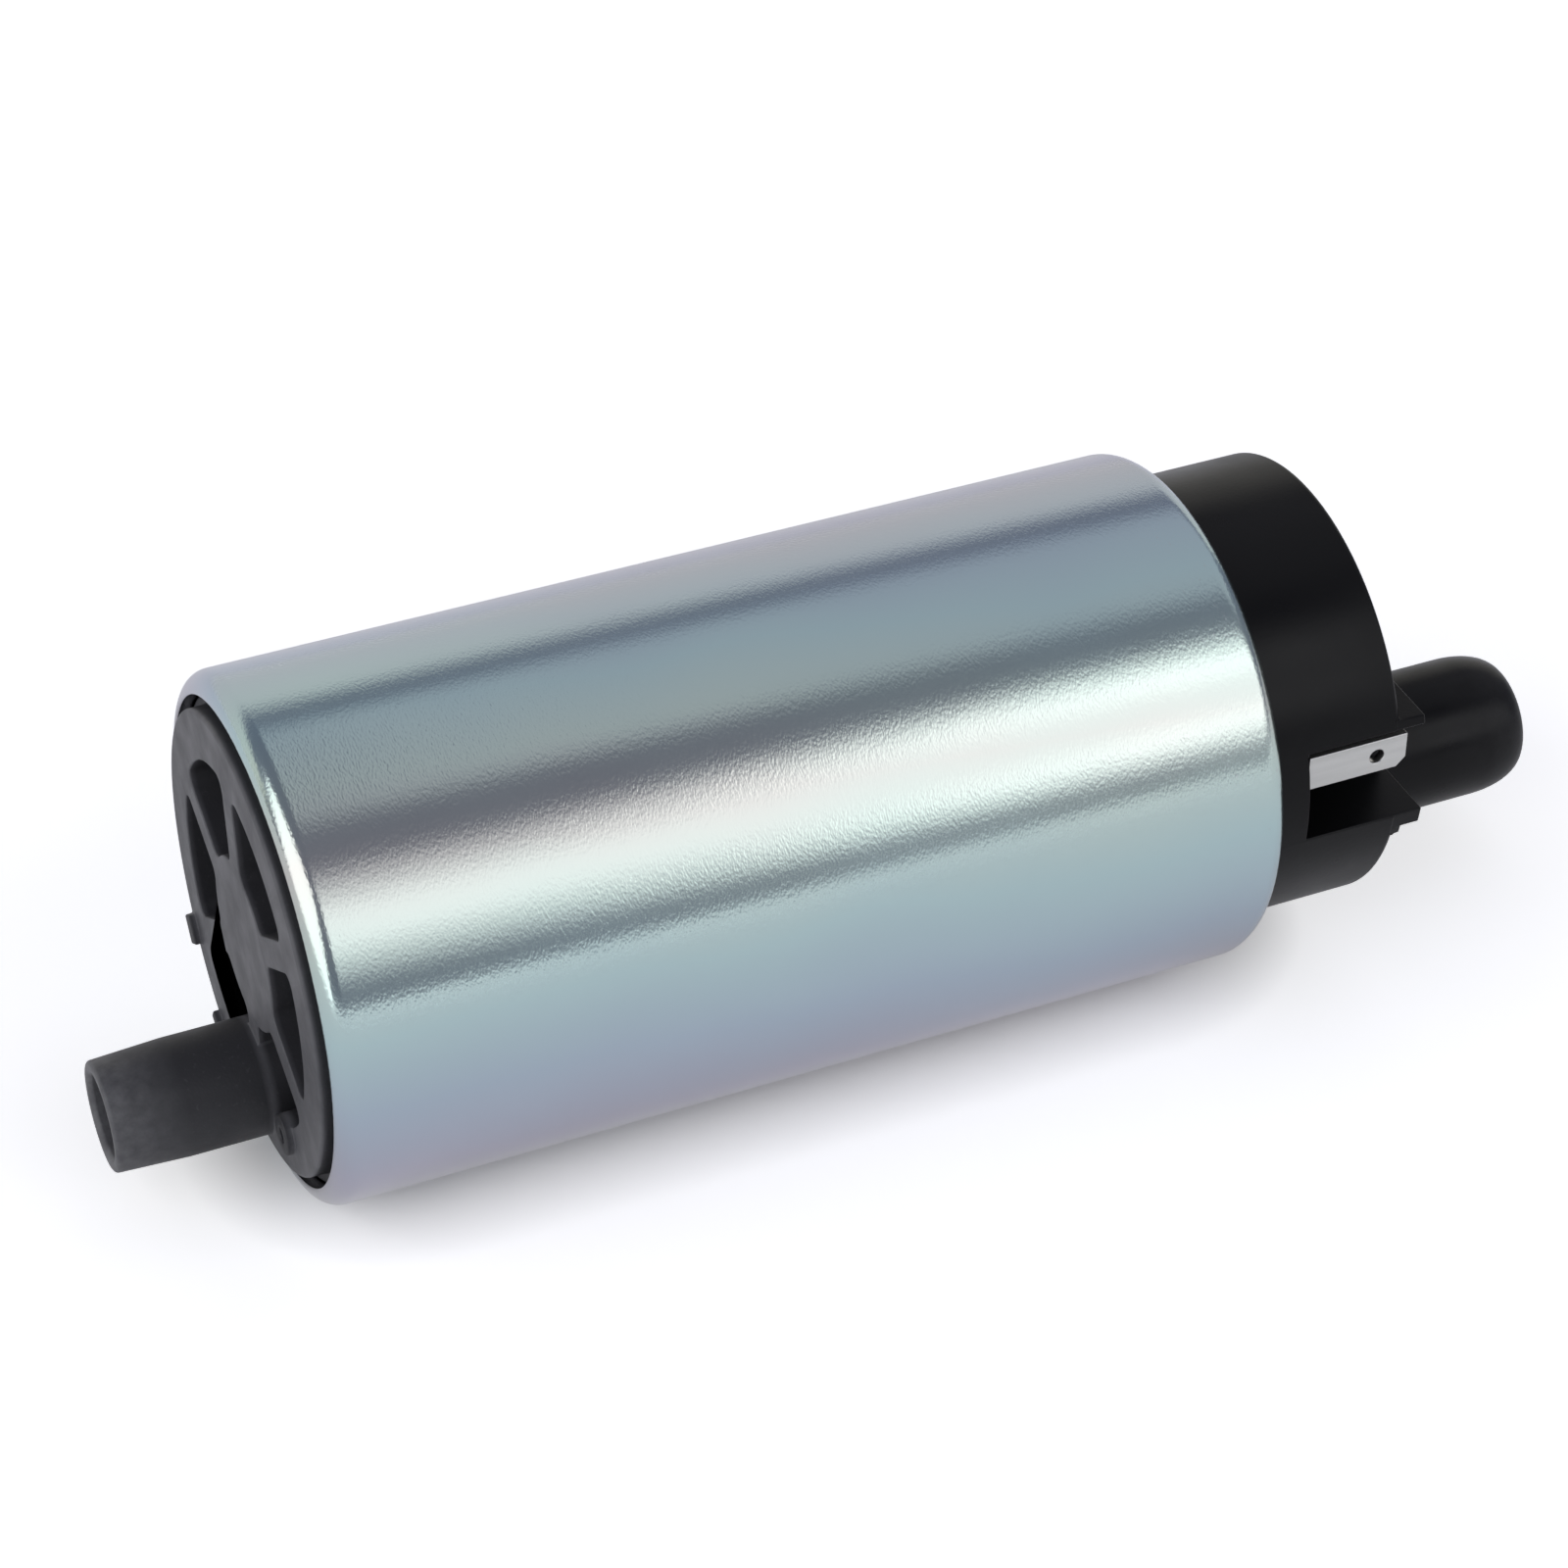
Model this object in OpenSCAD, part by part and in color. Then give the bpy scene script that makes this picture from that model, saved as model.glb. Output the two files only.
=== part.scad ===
// In-tank electric fuel pump of the turbine kind, lying on its side.
// The pump axis is X: the inlet end is at -X, the outlet end at +X.
// The origin is on the axis, half way along the steel shell.
// Front is -Y, rear is +Y. Stations are distances along the axis from the origin.

/* [Shell] */
// Outside diameter of the steel shell
shell_d = 38; // [36:0.5:44]
// Length of the shell over its rolled-in ends
shell_len = 70.4; // [62:0.2:90]
// Sheet thickness of the shell
shell_wall = 1; // [0.8:0.1:1.2]
// Outside radius of the rolled-in ends
bend_r = 1.6; // [1.4:0.1:2]
// How far the rolled-in inlet end reaches inwards from the shell's outside
inlet_lip = 1.55; // [1.3:0.05:2]

/* [Inlet cover] */
// How far the cover's face stands out of the shell
face_proud = 0.55; // [0.2:0.05:1.5]
// Groove between the rolled-in end and the raised face ring
face_groove = 0.85; // [0.5:0.05:1.5]
// Width of the raised face ring
ring_w = 3.6; // [3.2:0.1:5.4]
// Diameter of the flat hub in the middle of the face
hub_d = 12.6; // [11:0.2:14]
// Number of ribs across the face
rib_count = 6; // [5:1:8]
// Width of each rib
rib_w = 2.2; // [1.5:0.1:2.6]
// Turn of the ribs away from upright, in degrees
rib_turn = 3; // [0:1:6]
// Depth of the pockets between the ribs
pocket_deep = 4.4; // [2:0.1:5]
// Corner radius of the pockets
pocket_r = 1; // [0.4:0.1:1]
// Thickness of the cover between its shoulder and the pump chamber
inlet_cover_t = 6.7; // [6.2:0.1:9]

/* [Inlet nipple] */
// How far the inlet nipple's axis lies inside the circle of the vanes
inlet_inset = 1.9; // [1.6:0.1:2.8]
// Diameter of the straight stretch of the inlet nipple
inlet_d = 8.56; // [8:0.02:8.8]
// Diameter of the inlet nipple at its tip
inlet_tip_d = 8.1; // [7.6:0.05:8.5]
// Length of the inlet nipple beyond the cover's face
inlet_len = 11.3; // [9:0.1:20]
// Length of its straight stretch
inlet_straight = 6; // [4:0.5:8]
// Bore of the inlet nipple
inlet_bore_d = 6; // [5.8:0.1:6.2]

/* [Pump chamber] */
// Wall of the pump casing round the impeller
chamber_wall = 2.15; // [2:0.05:2.6]
// Thickness of the impeller
impeller_t = 3.6; // [3:0.1:4.2]
// Running gap on each side of the impeller
impeller_gap = 0.15; // [0.1:0.05:0.3]
// Running gap round the rim of the impeller
rim_gap = 0.3; // [0.3:0.05:0.6]
// Number of vane slots in the impeller
vane_count = 36; // [24:1:44]
// Radial length of the vane slots
vane_len = 2.2; // [1.6:0.1:2.6]
// Width of a vane slot
vane_slot_w = 1.1; // [0.8:0.1:1.3]
// Radius of the channel beside the vanes
channel_r = 1.1; // [0.8:0.1:1.3]
// Thickness of the pump casing's flange
casing_t = 7; // [6.4:0.1:9]
// Diameter of the boss that holds the lower bush
casing_boss_d = 13; // [11:0.5:16]

/* [Motor] */
// Diameter of the armature shaft
shaft_d = 4; // [3.5:0.1:4.2]
// Outside diameter of both bushes
bush_d = 8; // [7:0.1:8.4]
// Length of both bushes
bush_len = 5.5; // [4:0.5:5.5]
// Thickness of the flux ring
yoke_t = 1.55; // [1.2:0.05:1.8]
// Width of the seam in the flux ring
yoke_seam = 0.5; // [0.3:0.1:1]
// Thickness of the magnets
magnet_t = 3.75; // [3.2:0.05:4]
// How far the magnets reach past each end of the lamination stack
magnet_over = 5; // [2:0.5:6]
// Arc that each magnet covers
magnet_span = 140; // [120:1:148]
// Sheet thickness of the magnet clips
clip_t = 0.5; // [0.4:0.1:0.8]
// Air gap between the magnets and the armature
air_gap = 0.7; // [0.5:0.05:1]
// Number of armature slots
slot_count = 8; // [7:1:8]
// Length of the winding heads
head_len = 4.2; // [3:0.1:4.2]
// Thickness of the commutator's moulding
comm_base_t = 3.6; // [3:0.1:3.6]
// Thickness of the commutator bars
comm_bar_t = 2.9; // [2:0.1:3]
// Gap between two commutator bars
comm_slot = 0.5; // [0.4:0.1:0.8]

/* [Brushes] */
// Rim of the commutator that the brushes leave free
brush_rim = 0.6; // [0.6:0.1:1.2]
// Width of a brush across the radius
brush_b = 5.6; // [4.8:0.1:5.6]
// Length of a new brush
brush_len = 8; // [6:0.5:9]
// Gap between a brush and the commutator in this model
brush_gap = 0.2; // [0.1:0.05:0.3]
// How far a brush can be pushed back
brush_travel = 2.5; // [1:0.5:3]
// Wall of the brush guides
guide_wall = 1; // [0.8:0.1:1.1]
// Plate thickness of the brush holder
holder_t = 2.5; // [2:0.1:3]
// Turns of the brush springs
brush_turns = 6; // [5:1:7]

/* [Outlet cover] */
// Step from the shell's outside down to the outlet cover's outside
cover_step = 2.42; // [2.2:0.02:2.6]
// How far the outlet cover stands out of the shell
cover_out = 10.4; // [10:0.1:13]
// Chamfer on the cover's far edge
cover_chamfer = 0.45; // [0.2:0.05:0.8]
// Length of the cover's skirt inside the shell
skirt_len = 14.7; // [14.5:0.1:15.2]
// Wall of the cover's skirt inside the shell
skirt_wall = 1.5; // [1.2:0.1:1.6]
// Wall of the cover round its inner room
cover_wall = 1.7; // [1.6:0.05:1.8]
// Thickness of the cover's end wall
end_wall = 3; // [2.5:0.1:3.2]

/* [Outlet nipple] */
// Distance of the outlet nipple's axis from the cover's rim
outlet_inset = 6.84; // [6.6:0.02:7.18]
// Outside diameter of the outlet nipple
outlet_d = 10.7; // [10.4:0.1:11]
// Length of the outlet nipple beyond the cover's end face
outlet_len = 18.9; // [16:0.1:26]
// Length of its curved lead-in
lead_len = 3.95; // [2:0.05:5]
// How much the lead-in narrows the radius
lead_in = 1.64; // [1:0.02:1.8]
// Bore of the outlet nipple
outlet_bore_d = 5.9; // [5.6:0.1:6]

/* [Terminals] */
// Width of the terminal tabs
tab_w = 2.8; // [2.8:0.1:3]
// Thickness of the terminal tabs
tab_t = 0.8; // [0.5:0.1:0.8]
// Length of the tabs outside the pocket's inner end
tab_len = 8; // [7:0.1:9]
// Diameter of the hole in each tab
tab_hole_d = 1.15; // [0.8:0.05:1.4]
// Distance of that hole from the tab's end
tab_hole_in = 2.4; // [2:0.1:3]
// Height of the tabs above the pump axis, at their middle
tab_rise = 3.43; // [3.3:0.01:3.5]
// Distance of the tabs' outer faces from the cover's rim, measured level
tab_inset = 0.78; // [0.78:0.05:0.98]
// Length of the pockets round the tabs
socket_len = 7.5; // [7.3:0.1:8]
// Bottom of the pockets, above the pump axis
socket_low = -1.9; // [-2.2:0.1:-1.5]
// Top of the pockets, above the pump axis
socket_top = 5.15; // [5.1:0.05:5.3]
// Depth of the pockets behind the tabs' outer faces
socket_deep = 5.2; // [5:0.1:5.3]
// Wall between the pockets and the cover's room
socket_wall = 1.2; // [1:0.1:1.2]
// How far the guards at the pockets' mouths stand out
guard_out = 1.95; // [0.5:0.05:3]

/* [Chokes] */
// Diameter of the ferrite rods
choke_rod_d = 2.7; // [2:0.1:2.8]
// Length of the ferrite rods
choke_rod_len = 7.6; // [7.2:0.1:7.8]
// Turns of each choke
choke_turns = 7; // [5:1:7]
// Wire diameter of the chokes
choke_wire_d = 0.66; // [0.5:0.02:0.7]
// Distance of the chokes' axes from the wall of the cover's room
choke_inset = 2.34; // [2.3:0.02:2.5]
// Height of the chokes above the pump axis
choke_z = 7; // [6.9:0.1:7.2]

/* [Valves] */
// Diameter of the check valve's chamber
check_d = 7.4; // [7:0.1:7.6]
// Length of the check valve's seat ring
check_seat_len = 2.5; // [2:0.1:3]
// Hole in the check valve's seat ring
check_hole_d = 4; // [3:0.1:4.2]
// Opening travel of the check valve
check_travel = 2; // [1:0.1:3]
// Distance of the relief valve's axis from the wall of the cover's room
relief_inset = 4.88; // [4.68:0.1:5.08]
// Diameter of the relief valve's ball
ball_d = 4; // [3.6:0.1:4.2]
// Diameter of the relief valve's chamber
relief_d = 5; // [4.8:0.1:5.2]
// Diameter of the relief valve's seat hole
relief_hole_d = 2.4; // [1.8:0.1:2.6]
// Opening travel of the relief ball
relief_travel = 1.5; // [0.5:0.1:1.5]
// Length of the relief valve's plug
plug_len = 1.6; // [1.2:0.1:2]

/* [Clearances] */
// Radial clearance of pieces that sit in the shell
seat_gap = 0.05; // [0.02:0.01:0.08]
// Radial clearance of the shaft in its bushes
run_gap = 0.03; // [0.02:0.01:0.06]
// Clearance of sliding pieces on each side
slide_gap = 0.06; // [0.04:0.01:0.09]
// Clearance between pieces that are put together
fit_gap = 0.02; // [0.01:0.01:0.05]
// Gap between a valve and its seat in this model
valve_gap = 0.1; // [0.05:0.05:0.15]

/* [Hidden] */
$fn = 96;
front = -1;
rear = 1;
eps = 0.01;
cut = 1;

// Shell and the stack of pieces that it clamps
shell_r = shell_d / 2;
bore_r = shell_r - shell_wall;
seat_r = bore_r - seat_gap;
end_in = -shell_len / 2;
end_out = shell_len / 2;
stack_in = end_in + shell_wall;
stack_out = end_out - shell_wall;
chamber_in = stack_in + inlet_cover_t;
casing_out = chamber_in + casing_t;
yoke_out = stack_out - skirt_len;
yoke_len = yoke_out - casing_out;
inlet_lip_r = shell_r - inlet_lip;
face_r = inlet_lip_r - face_groove;
ring_in_r = face_r - ring_w;
shoulder_cut = bend_r - shell_wall + 0.1;

// Pump chamber
chamber_len = impeller_t + 2 * impeller_gap;
chamber_out = chamber_in + chamber_len;
impeller_in = chamber_in + impeller_gap;
impeller_r = seat_r - chamber_wall - rim_gap;
vane_out_r = impeller_r - 0.6;
vane_mid_r = vane_out_r - vane_len / 2;
channel_start = -80;
channel_sweep = 300;
web_hole_r = 1.1;
web_hole_off = vane_out_r - vane_len - 4;
port_r = 1.6;
port_off = vane_mid_r - 1;
port_angle = 40;
face_st = end_in - face_proud;
pocket_end = face_st + pocket_deep;
inlet_tip = face_st - inlet_len;
inlet_drop = vane_mid_r - inlet_inset;
button_r = shaft_d / 2 + 0.5;
button_len = 2.2;
button_out = chamber_in - 1.3;
button_edge = 0.3;
bush_in = chamber_out + 0.9;
casing_boss_out = max(casing_out, bush_in + bush_len);

// Vapour vent and locating lugs on the inlet face; each lug has an angle, a length, a width and a height
vent_angle = 235;
vent_off = ring_in_r + 0.4;
vent_hole_r = 0.55;
vent_seat_r = 1.5;
vent_proud = 0.6;
lugs = [[327, 1.4, 2.2, 0.55], [302, 0.9, 1.5, 0.55]];
lug_root = 0.65;
lug_in = 0.1;
nipple_edge = 0.35;
root_draft = 0.2;

// Seal rings in the casing and in the outlet cover
seal_groove_w = 1.7;
seal_groove_deep = 1.3;
seal_groove_r = seat_r - seal_groove_deep;
seal_mid_r = (bore_r + seal_groove_r) / 2;
seal_r = (bore_r - seal_groove_r) / 2 - eps;
casing_seal_st = casing_out - seal_groove_w / 2 - 1.05;
cover_seal_st = stack_out - seal_groove_w / 2 - 1.35;

// Magnets and armature
yoke_in_r = seat_r - yoke_t;
magnet_out_r = yoke_in_r - seat_gap;
magnet_in_r = magnet_out_r - magnet_t;
magnet_gap_half = (180 - magnet_span) / 2;
core_r = magnet_in_r - air_gap;
slot_root_r = 5.4;
slot_top_r = core_r - 1.7;
slot_pitch = 360 / slot_count;
tooth_w = 2.1;
slot_mouth = 1.6;
insulation = 0.15;
head_draw = 1.4;
clip_half = magnet_gap_half - 0.4;
comm_face = yoke_out + 2;
comm_bar_in = comm_face - comm_bar_t;
comm_in = comm_bar_in - comm_base_t;
core_in = casing_boss_out + 1.5 + head_len;
core_out = comm_in - 0.3 - head_len;
core_len = core_out - core_in;
motor_mid = (core_in + core_out) / 2;
magnet_len = core_len + 2 * magnet_over;
comm_r = slot_top_r;
comm_collar_r = 4.2;
comm_step = 0.3;
shaft_r = shaft_d / 2;
shaft_in = button_out + 0.1;
shaft_flat = shaft_r * 0.7;
shaft_edge = 0.4;
shaft_pass_r = shaft_r + 0.5;

// Wire radius of the coil springs, and the middle of their end turns from what they bear on
spring_r = 0.2;
spring_seat = spring_r + 0.05;

// Brush gear
holder_boss_r = bush_d / 2 + 1;
brush_low = holder_boss_r + 0.2;
brush_w = comm_r - brush_rim - brush_low;
brush_off = brush_low + brush_w / 2;
brush_coil_r = brush_w / 2 - 0.65;
brush_in = comm_face + brush_gap;
brush_out = brush_in + brush_len;
holder_in = comm_face + 3;
holder_out = holder_in + holder_t;
guide_in = comm_face + 1.7;
guide_out = brush_out + brush_travel + 0.8;
upper_bush_in = holder_in + 1.5;
shaft_out = upper_bush_in + bush_len - 0.5;
lead_st = brush_in + 6.9;
skirt_in_r = seat_r - skirt_wall;
lead_slot_w = 1.5;
lead_slot_in = holder_out + 0.3;
lead_r = 0.5;
window_angles = [60, 90, 120, 240, 270, 300];
window_off = skirt_in_r - 4.85;
window_r = 2.4;

// Outlet cover's outside, and the room inside it
cover_r = shell_r - cover_step;
room_r = cover_r - cover_wall;

// Chokes: their place, the radius of their turns and where their inner leg starts
choke_y = sqrt(pow(room_r - choke_inset, 2) - choke_z * choke_z);
choke_in = lead_st + 0.2;
choke_coil_r = choke_rod_d / 2 + choke_wire_d / 2 + 0.12;
choke_leg = [choke_y + 2.2, choke_z - 2.25];

// Outlet cover
cover_end = end_out + cover_out;
outlet_lip_r = cover_r + 0.12;
outlet_drop = cover_r - outlet_inset;
room_out = cover_end - end_wall;
tab_out = cover_r - tab_inset;
socket_in = tab_out - socket_deep;
socket_st = cover_end - socket_len;
socket_back = socket_st - socket_wall;
outlet_tip = cover_end + outlet_len;
post_r = brush_w / 2 - 0.1;
post_pin_r = brush_coil_r - 0.45;
post_pin_len = 1.4;
post_in = brush_out + brush_travel + brush_turns * 2 * spring_r + post_pin_len;
guard_top_t = 0.7;
guard_low_t = 1.4;
guard_step_t = 0.7;
guard_step_out = 0.5;
guard_low = socket_low - guard_low_t;
tab_corner = 1;
foot_in = socket_back - tab_t - 0.5;
foot_reach = room_r - 2.7;
slot_reach = room_r - 1;

// Check valve
valve_in = room_out - 4.6;
valve_boss_r = outlet_d / 2;
seat_out = valve_in + check_seat_len;
check_seal_t = 0.8;
check_head_r = check_d / 2 - 0.8;
check_stem_r = 1.15;
check_stem_out = 0.5;
check_vane_t = 1;
check_vane_len = 3.4;
check_turns = 5;
check_seal_in = seat_out + valve_gap;
poppet_head_in = check_seal_in + check_seal_t;
poppet_head_t = 1.2;
vane_end = poppet_head_in + poppet_head_t + check_vane_len;
check_chamber_out = vane_end + check_travel + check_turns * 2 * spring_r + 2;

// Relief valve
relief_rise = room_r - relief_inset;
relief_boss_r = relief_d / 2 + 1.2;
plug_in = cover_end - plug_len;
plug_hole_r = 0.8;
plug_sunk = 0.2;
relief_seat = plug_in - relief_travel - 6;
relief_in = relief_seat - 1.5;
ball_r = ball_d / 2;
ball_st = relief_seat + sqrt(ball_r * ball_r - relief_hole_d * relief_hole_d / 4) + valve_gap;
relief_coil_r = 1.45;
relief_turns = 4;
relief_spring_in = ball_st + sqrt(ball_r * ball_r - relief_coil_r * relief_coil_r) + spring_seat + 0.05;

// Turns what is built along +Z so that it lies along +X, with +X to +Y and +Y to +Z
module lay() rotate([90, 0, 90]) children();

// Something at a station along the axis
module at(station) translate([0, 0, station]) children();

// A plain round bar between two stations
module bar(r, from, to) at(from) cylinder(r = r, h = to - from);

// A round bar that narrows or widens between two stations
module taper(r1, r2, from, to) at(from) cylinder(r1 = r1, r2 = r2, h = to - from);

// A tube between two stations
module tube(r_out, r_in, from, to) difference() {
    bar(r_out, from, to);
    bar(r_in, from - cut, to + cut);
}

// Points on an arc about a centre
function arc(c, r, a0, a1, n) = [for (i = [0:n]) let (a = a0 + (a1 - a0) * i / n)
    [c[0] + r * cos(a), c[1] + r * sin(a)]];

// A point given by its radius and angle
function polar(r, a) = [r * cos(a), r * sin(a)];

// Outline of a ring sector between two straight ribs, with rounded corners
function pocket_outline(r1, r2, half, w, c) =
    let (a_out = half - asin((w / 2 + c) / (r2 - c)), a_in = half - asin((w / 2 + c) / (r1 + c)))
    concat(arc([0, 0], r2, -a_out, a_out, 12),
           arc(polar(r2 - c, a_out), c, a_out, half + 90, 5),
           arc(polar(r1 + c, a_in), c, half + 90, a_in + 180, 5),
           arc([0, 0], r1, a_in, -a_in, 6),
           arc(polar(r1 + c, -a_in), c, -a_in - 180, -half - 90, 5),
           arc(polar(r2 - c, -a_out), c, -half - 90, -a_out, 5));

// Outline of a ring sector about the angle zero
function sector_outline(r1, r2, half, n) =
    concat(arc([0, 0], r2, -half, half, n), arc([0, 0], r1, half, -half, n));

// Unit vector, and two vectors across it
function unit(v) = v / norm(v);
function across(t) = unit(cross(t, abs(t[2]) > 0.8 ? [1, 0, 0] : [0, 0, 1]));

// Direction of a path at one of its points
function heading(p, i) = unit(p[min(i + 1, len(p) - 1)] - p[max(i - 1, 0)]);

// A round wire along a list of points
module wire(path, r, sides = 6) {
    n = len(path);
    points = [for (i = [0:n - 1]) let (t = heading(path, i), u = across(t), v = cross(t, u))
        for (k = [0:sides - 1]) path[i] + r * (u * cos(360 * k / sides) + v * sin(360 * k / sides))];
    skin = [for (i = [0:n - 2], k = [0:sides - 1]) let (a = i * sides + k, b = i * sides + (k + 1) % sides)
        each [[a, b, b + sides], [a, b + sides, a + sides]]];
    first = [for (k = [1:sides - 2]) [0, k + 1, k]];
    last = [for (k = [1:sides - 2]) let (z = (n - 1) * sides) [z, z + k, z + k + 1]];
    polyhedron(points = points, faces = [for (f = concat(skin, first, last)) [f[0], f[2], f[1]]],
               convexity = 6);
}

// Points of a coil about the axis, with its ends drawn flat for half a turn
function coil(r, from, to, turns, per_turn, turn_way = 1) =
    [for (i = [0:turns * per_turn]) let (a = 360 * i / per_turn, s = i / (turns * per_turn))
        [r * cos(turn_way * a), r * sin(turn_way * a), from + (to - from) * s]];

// Steel shell, rolled inwards over the covers at both ends
module shell() color("#b9c6c6") lay() rotate_extrude() {
    translate([bore_r, end_in + bend_r]) square([shell_wall, shell_len - 2 * bend_r]);
    translate([0, end_in]) rolled_end(inlet_lip_r);
    translate([0, end_out]) mirror([0, 1]) rolled_end(outlet_lip_r);
}

// Section of one rolled-in end: a quarter bend and the flat lip inside it
module rolled_end(lip_r) {
    intersection() {
        translate([shell_r - bend_r, bend_r]) difference() {
            circle(r = bend_r);
            circle(r = bend_r - shell_wall);
        }
        translate([max(lip_r, shell_r - bend_r), 0]) square([bend_r, bend_r]);
    }
    if (lip_r < shell_r - bend_r)
        translate([lip_r, 0]) square([shell_r - bend_r - lip_r, shell_wall]);
}

// Moulded cover of the inlet end, with its ribbed face and the inlet nipple
module inlet_cover() color("#4d4d50") lay() difference() {
    union() {
        difference() {
            union() {
                taper(seat_r - shoulder_cut, seat_r, stack_in, stack_in + shoulder_cut);
                bar(seat_r, stack_in + shoulder_cut, chamber_in);
                bar(face_r, face_st, stack_in + eps);
            }
            face_pockets();
        }
        inlet_nipple();
        vent_boss();
        face_lugs();
    }
    translate([0, -inlet_drop]) bar(inlet_bore_d / 2, inlet_tip - cut, chamber_in + cut);
    rotate(vent_angle) translate([vent_off, 0]) bar(vent_hole_r, face_st - vent_proud - cut, chamber_in + cut);
    bar(button_r + fit_gap, button_out - button_len, chamber_in + cut);
    at(chamber_in) side_channel();
}

// Pockets between the ribs of the inlet face
module face_pockets() for (k = [0:rib_count - 1])
    rotate(90 - rib_turn + (k + 0.5) * 360 / rib_count) at(face_st - cut) linear_extrude(pocket_deep + cut)
        polygon(pocket_outline(hub_d / 2, ring_in_r, 180 / rib_count, rib_w, pocket_r));

// Inlet nipple: drawn in towards its tip, straight up to the face, and with draft on its root in the pockets
module inlet_nipple() translate([0, -inlet_drop]) rotate_extrude() polygon([
    [0, inlet_tip], [inlet_tip_d / 2 - nipple_edge, inlet_tip], [inlet_tip_d / 2, inlet_tip + nipple_edge],
    [inlet_d / 2, face_st - inlet_straight], [inlet_d / 2, face_st],
    [inlet_d / 2 + root_draft, pocket_end + eps], [0, pocket_end + eps]]);

// Small raised seat of the vapour vent
module vent_boss() rotate(vent_angle) translate([vent_off, 0])
    bar(vent_seat_r, face_st - vent_proud, pocket_end);

// Two small locating lugs on the edge of the face
module face_lugs() for (lug = lugs)
    rotate(lug[0]) translate([face_r - lug_in - lug[1], -lug[2] / 2, face_st - lug[3]])
        cube([lug[1], lug[2], lug[3] + lug_root]);

// Channel beside the vanes, open for most of the turn
module side_channel() rotate(channel_start) rotate_extrude(angle = channel_sweep)
    translate([vane_mid_r, 0]) circle(r = channel_r, $fn = 32);

// Hard steel button that takes the shaft's thrust
module thrust_button() color("#c9c9c6") lay() union() {
    bar(button_r, button_out - button_len, button_out - button_edge);
    taper(button_r, button_r - 2 * button_edge, button_out - button_edge, button_out);
}

// Outline of the shaft where it has its flat, grown by a clearance
module flat_shaft(grow) intersection() {
    circle(r = shaft_r + grow);
    translate([-shaft_d, -shaft_d]) square([2 * shaft_d, shaft_d + shaft_flat + grow]);
}

// Turbine impeller with a ring outside its vane slots
module impeller() color("#6b4a2f") lay() at(impeller_in) linear_extrude(impeller_t) difference() {
    circle(r = impeller_r);
    flat_shaft(run_gap);
    for (k = [0:vane_count - 1]) rotate(k * 360 / vane_count)
        translate([vane_out_r - vane_len, -vane_slot_w / 2]) square([vane_len, vane_slot_w]);
    for (k = [0:3]) rotate(45 + k * 90) translate([web_hole_off, 0]) circle(r = web_hole_r);
}

// Die-cast casing between the impeller and the motor
module pump_casing() color("#a9abad") lay() difference() {
    union() {
        bar(seat_r, chamber_in, casing_out);
        bar(casing_boss_d / 2, casing_out - eps, casing_boss_out);
    }
    bar(impeller_r + rim_gap, chamber_in - cut, chamber_out);
    bar(bush_d / 2 + fit_gap, bush_in, casing_boss_out + cut);
    bar(shaft_pass_r, chamber_out - cut, bush_in + cut);
    at(chamber_out) side_channel();
    rotate(port_angle) translate([port_off, 0]) bar(port_r, chamber_out - cut, casing_out + cut);
    seal_groove(casing_seal_st);
}

// Groove for a seal ring
module seal_groove(station) tube(seat_r + cut, seal_groove_r, station - seal_groove_w / 2,
                                 station + seal_groove_w / 2);

// Rubber ring in such a groove
module seal_ring(station) color("#1d1d1f") lay() at(station) rotate_extrude()
    translate([seal_mid_r, 0]) circle(r = seal_r, $fn = 32);

module casing_seal() seal_ring(casing_seal_st);
module cover_seal() seal_ring(cover_seal_st);

// Sintered bush
module bush(from) color("#9a7648") lay() tube(bush_d / 2, shaft_r + run_gap, from, from + bush_len);

module lower_bush() bush(bush_in);
module upper_bush() bush(upper_bush_in);

// Rolled steel ring that carries the flux, with its open seam
module flux_ring() color("#8f9496") lay() difference() {
    tube(seat_r, yoke_in_r, casing_out, yoke_out);
    rotate(270) translate([yoke_in_r - cut, -yoke_seam / 2, casing_out - cut])
        cube([yoke_t + 2 * cut, yoke_seam, yoke_len + 2 * cut]);
}

// Ferrite magnet about an angle
module magnet(angle) color("#3b3c3f") lay() rotate(angle) at(motor_mid - magnet_len / 2)
    rotate(-magnet_span / 2) rotate_extrude(angle = magnet_span)
        translate([magnet_in_r, 0]) square([magnet_t, magnet_len]);

module magnet_upper() magnet(90);
module magnet_lower() magnet(270);

// Two spring clips that press the magnets apart
module magnet_clips() color("#c4c7c9") lay() for (turn = [0, 180]) rotate(turn)
    at(motor_mid - magnet_len / 2 + 1) linear_extrude(magnet_len - 2) {
        difference() {
            polygon(sector_outline(magnet_out_r - clip_t, magnet_out_r, clip_half, 12));
            circle(r = magnet_out_r - clip_t);
        }
        for (way = [-1, 1]) rotate(way * clip_half)
            translate([magnet_in_r + clip_t, way > 0 ? -clip_t : 0])
                square([magnet_t - 1.5 * clip_t, clip_t]);
    }

// Armature shaft with the flat that drives the impeller
module armature_shaft() color("#cfd1d2") lay() union() {
    at(shaft_in) linear_extrude(chamber_out - shaft_in) flat_shaft(0);
    bar(shaft_r, chamber_out - eps, shaft_out - shaft_edge);
    taper(shaft_r, shaft_r - shaft_edge, shaft_out - shaft_edge - eps, shaft_out);
}

// Half the width of an armature slot at a radius, so that the teeth keep one width
function slot_half(r, inset) = r * tan(slot_pitch / 2) - tooth_w / 2 / cos(slot_pitch / 2) - inset;

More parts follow.
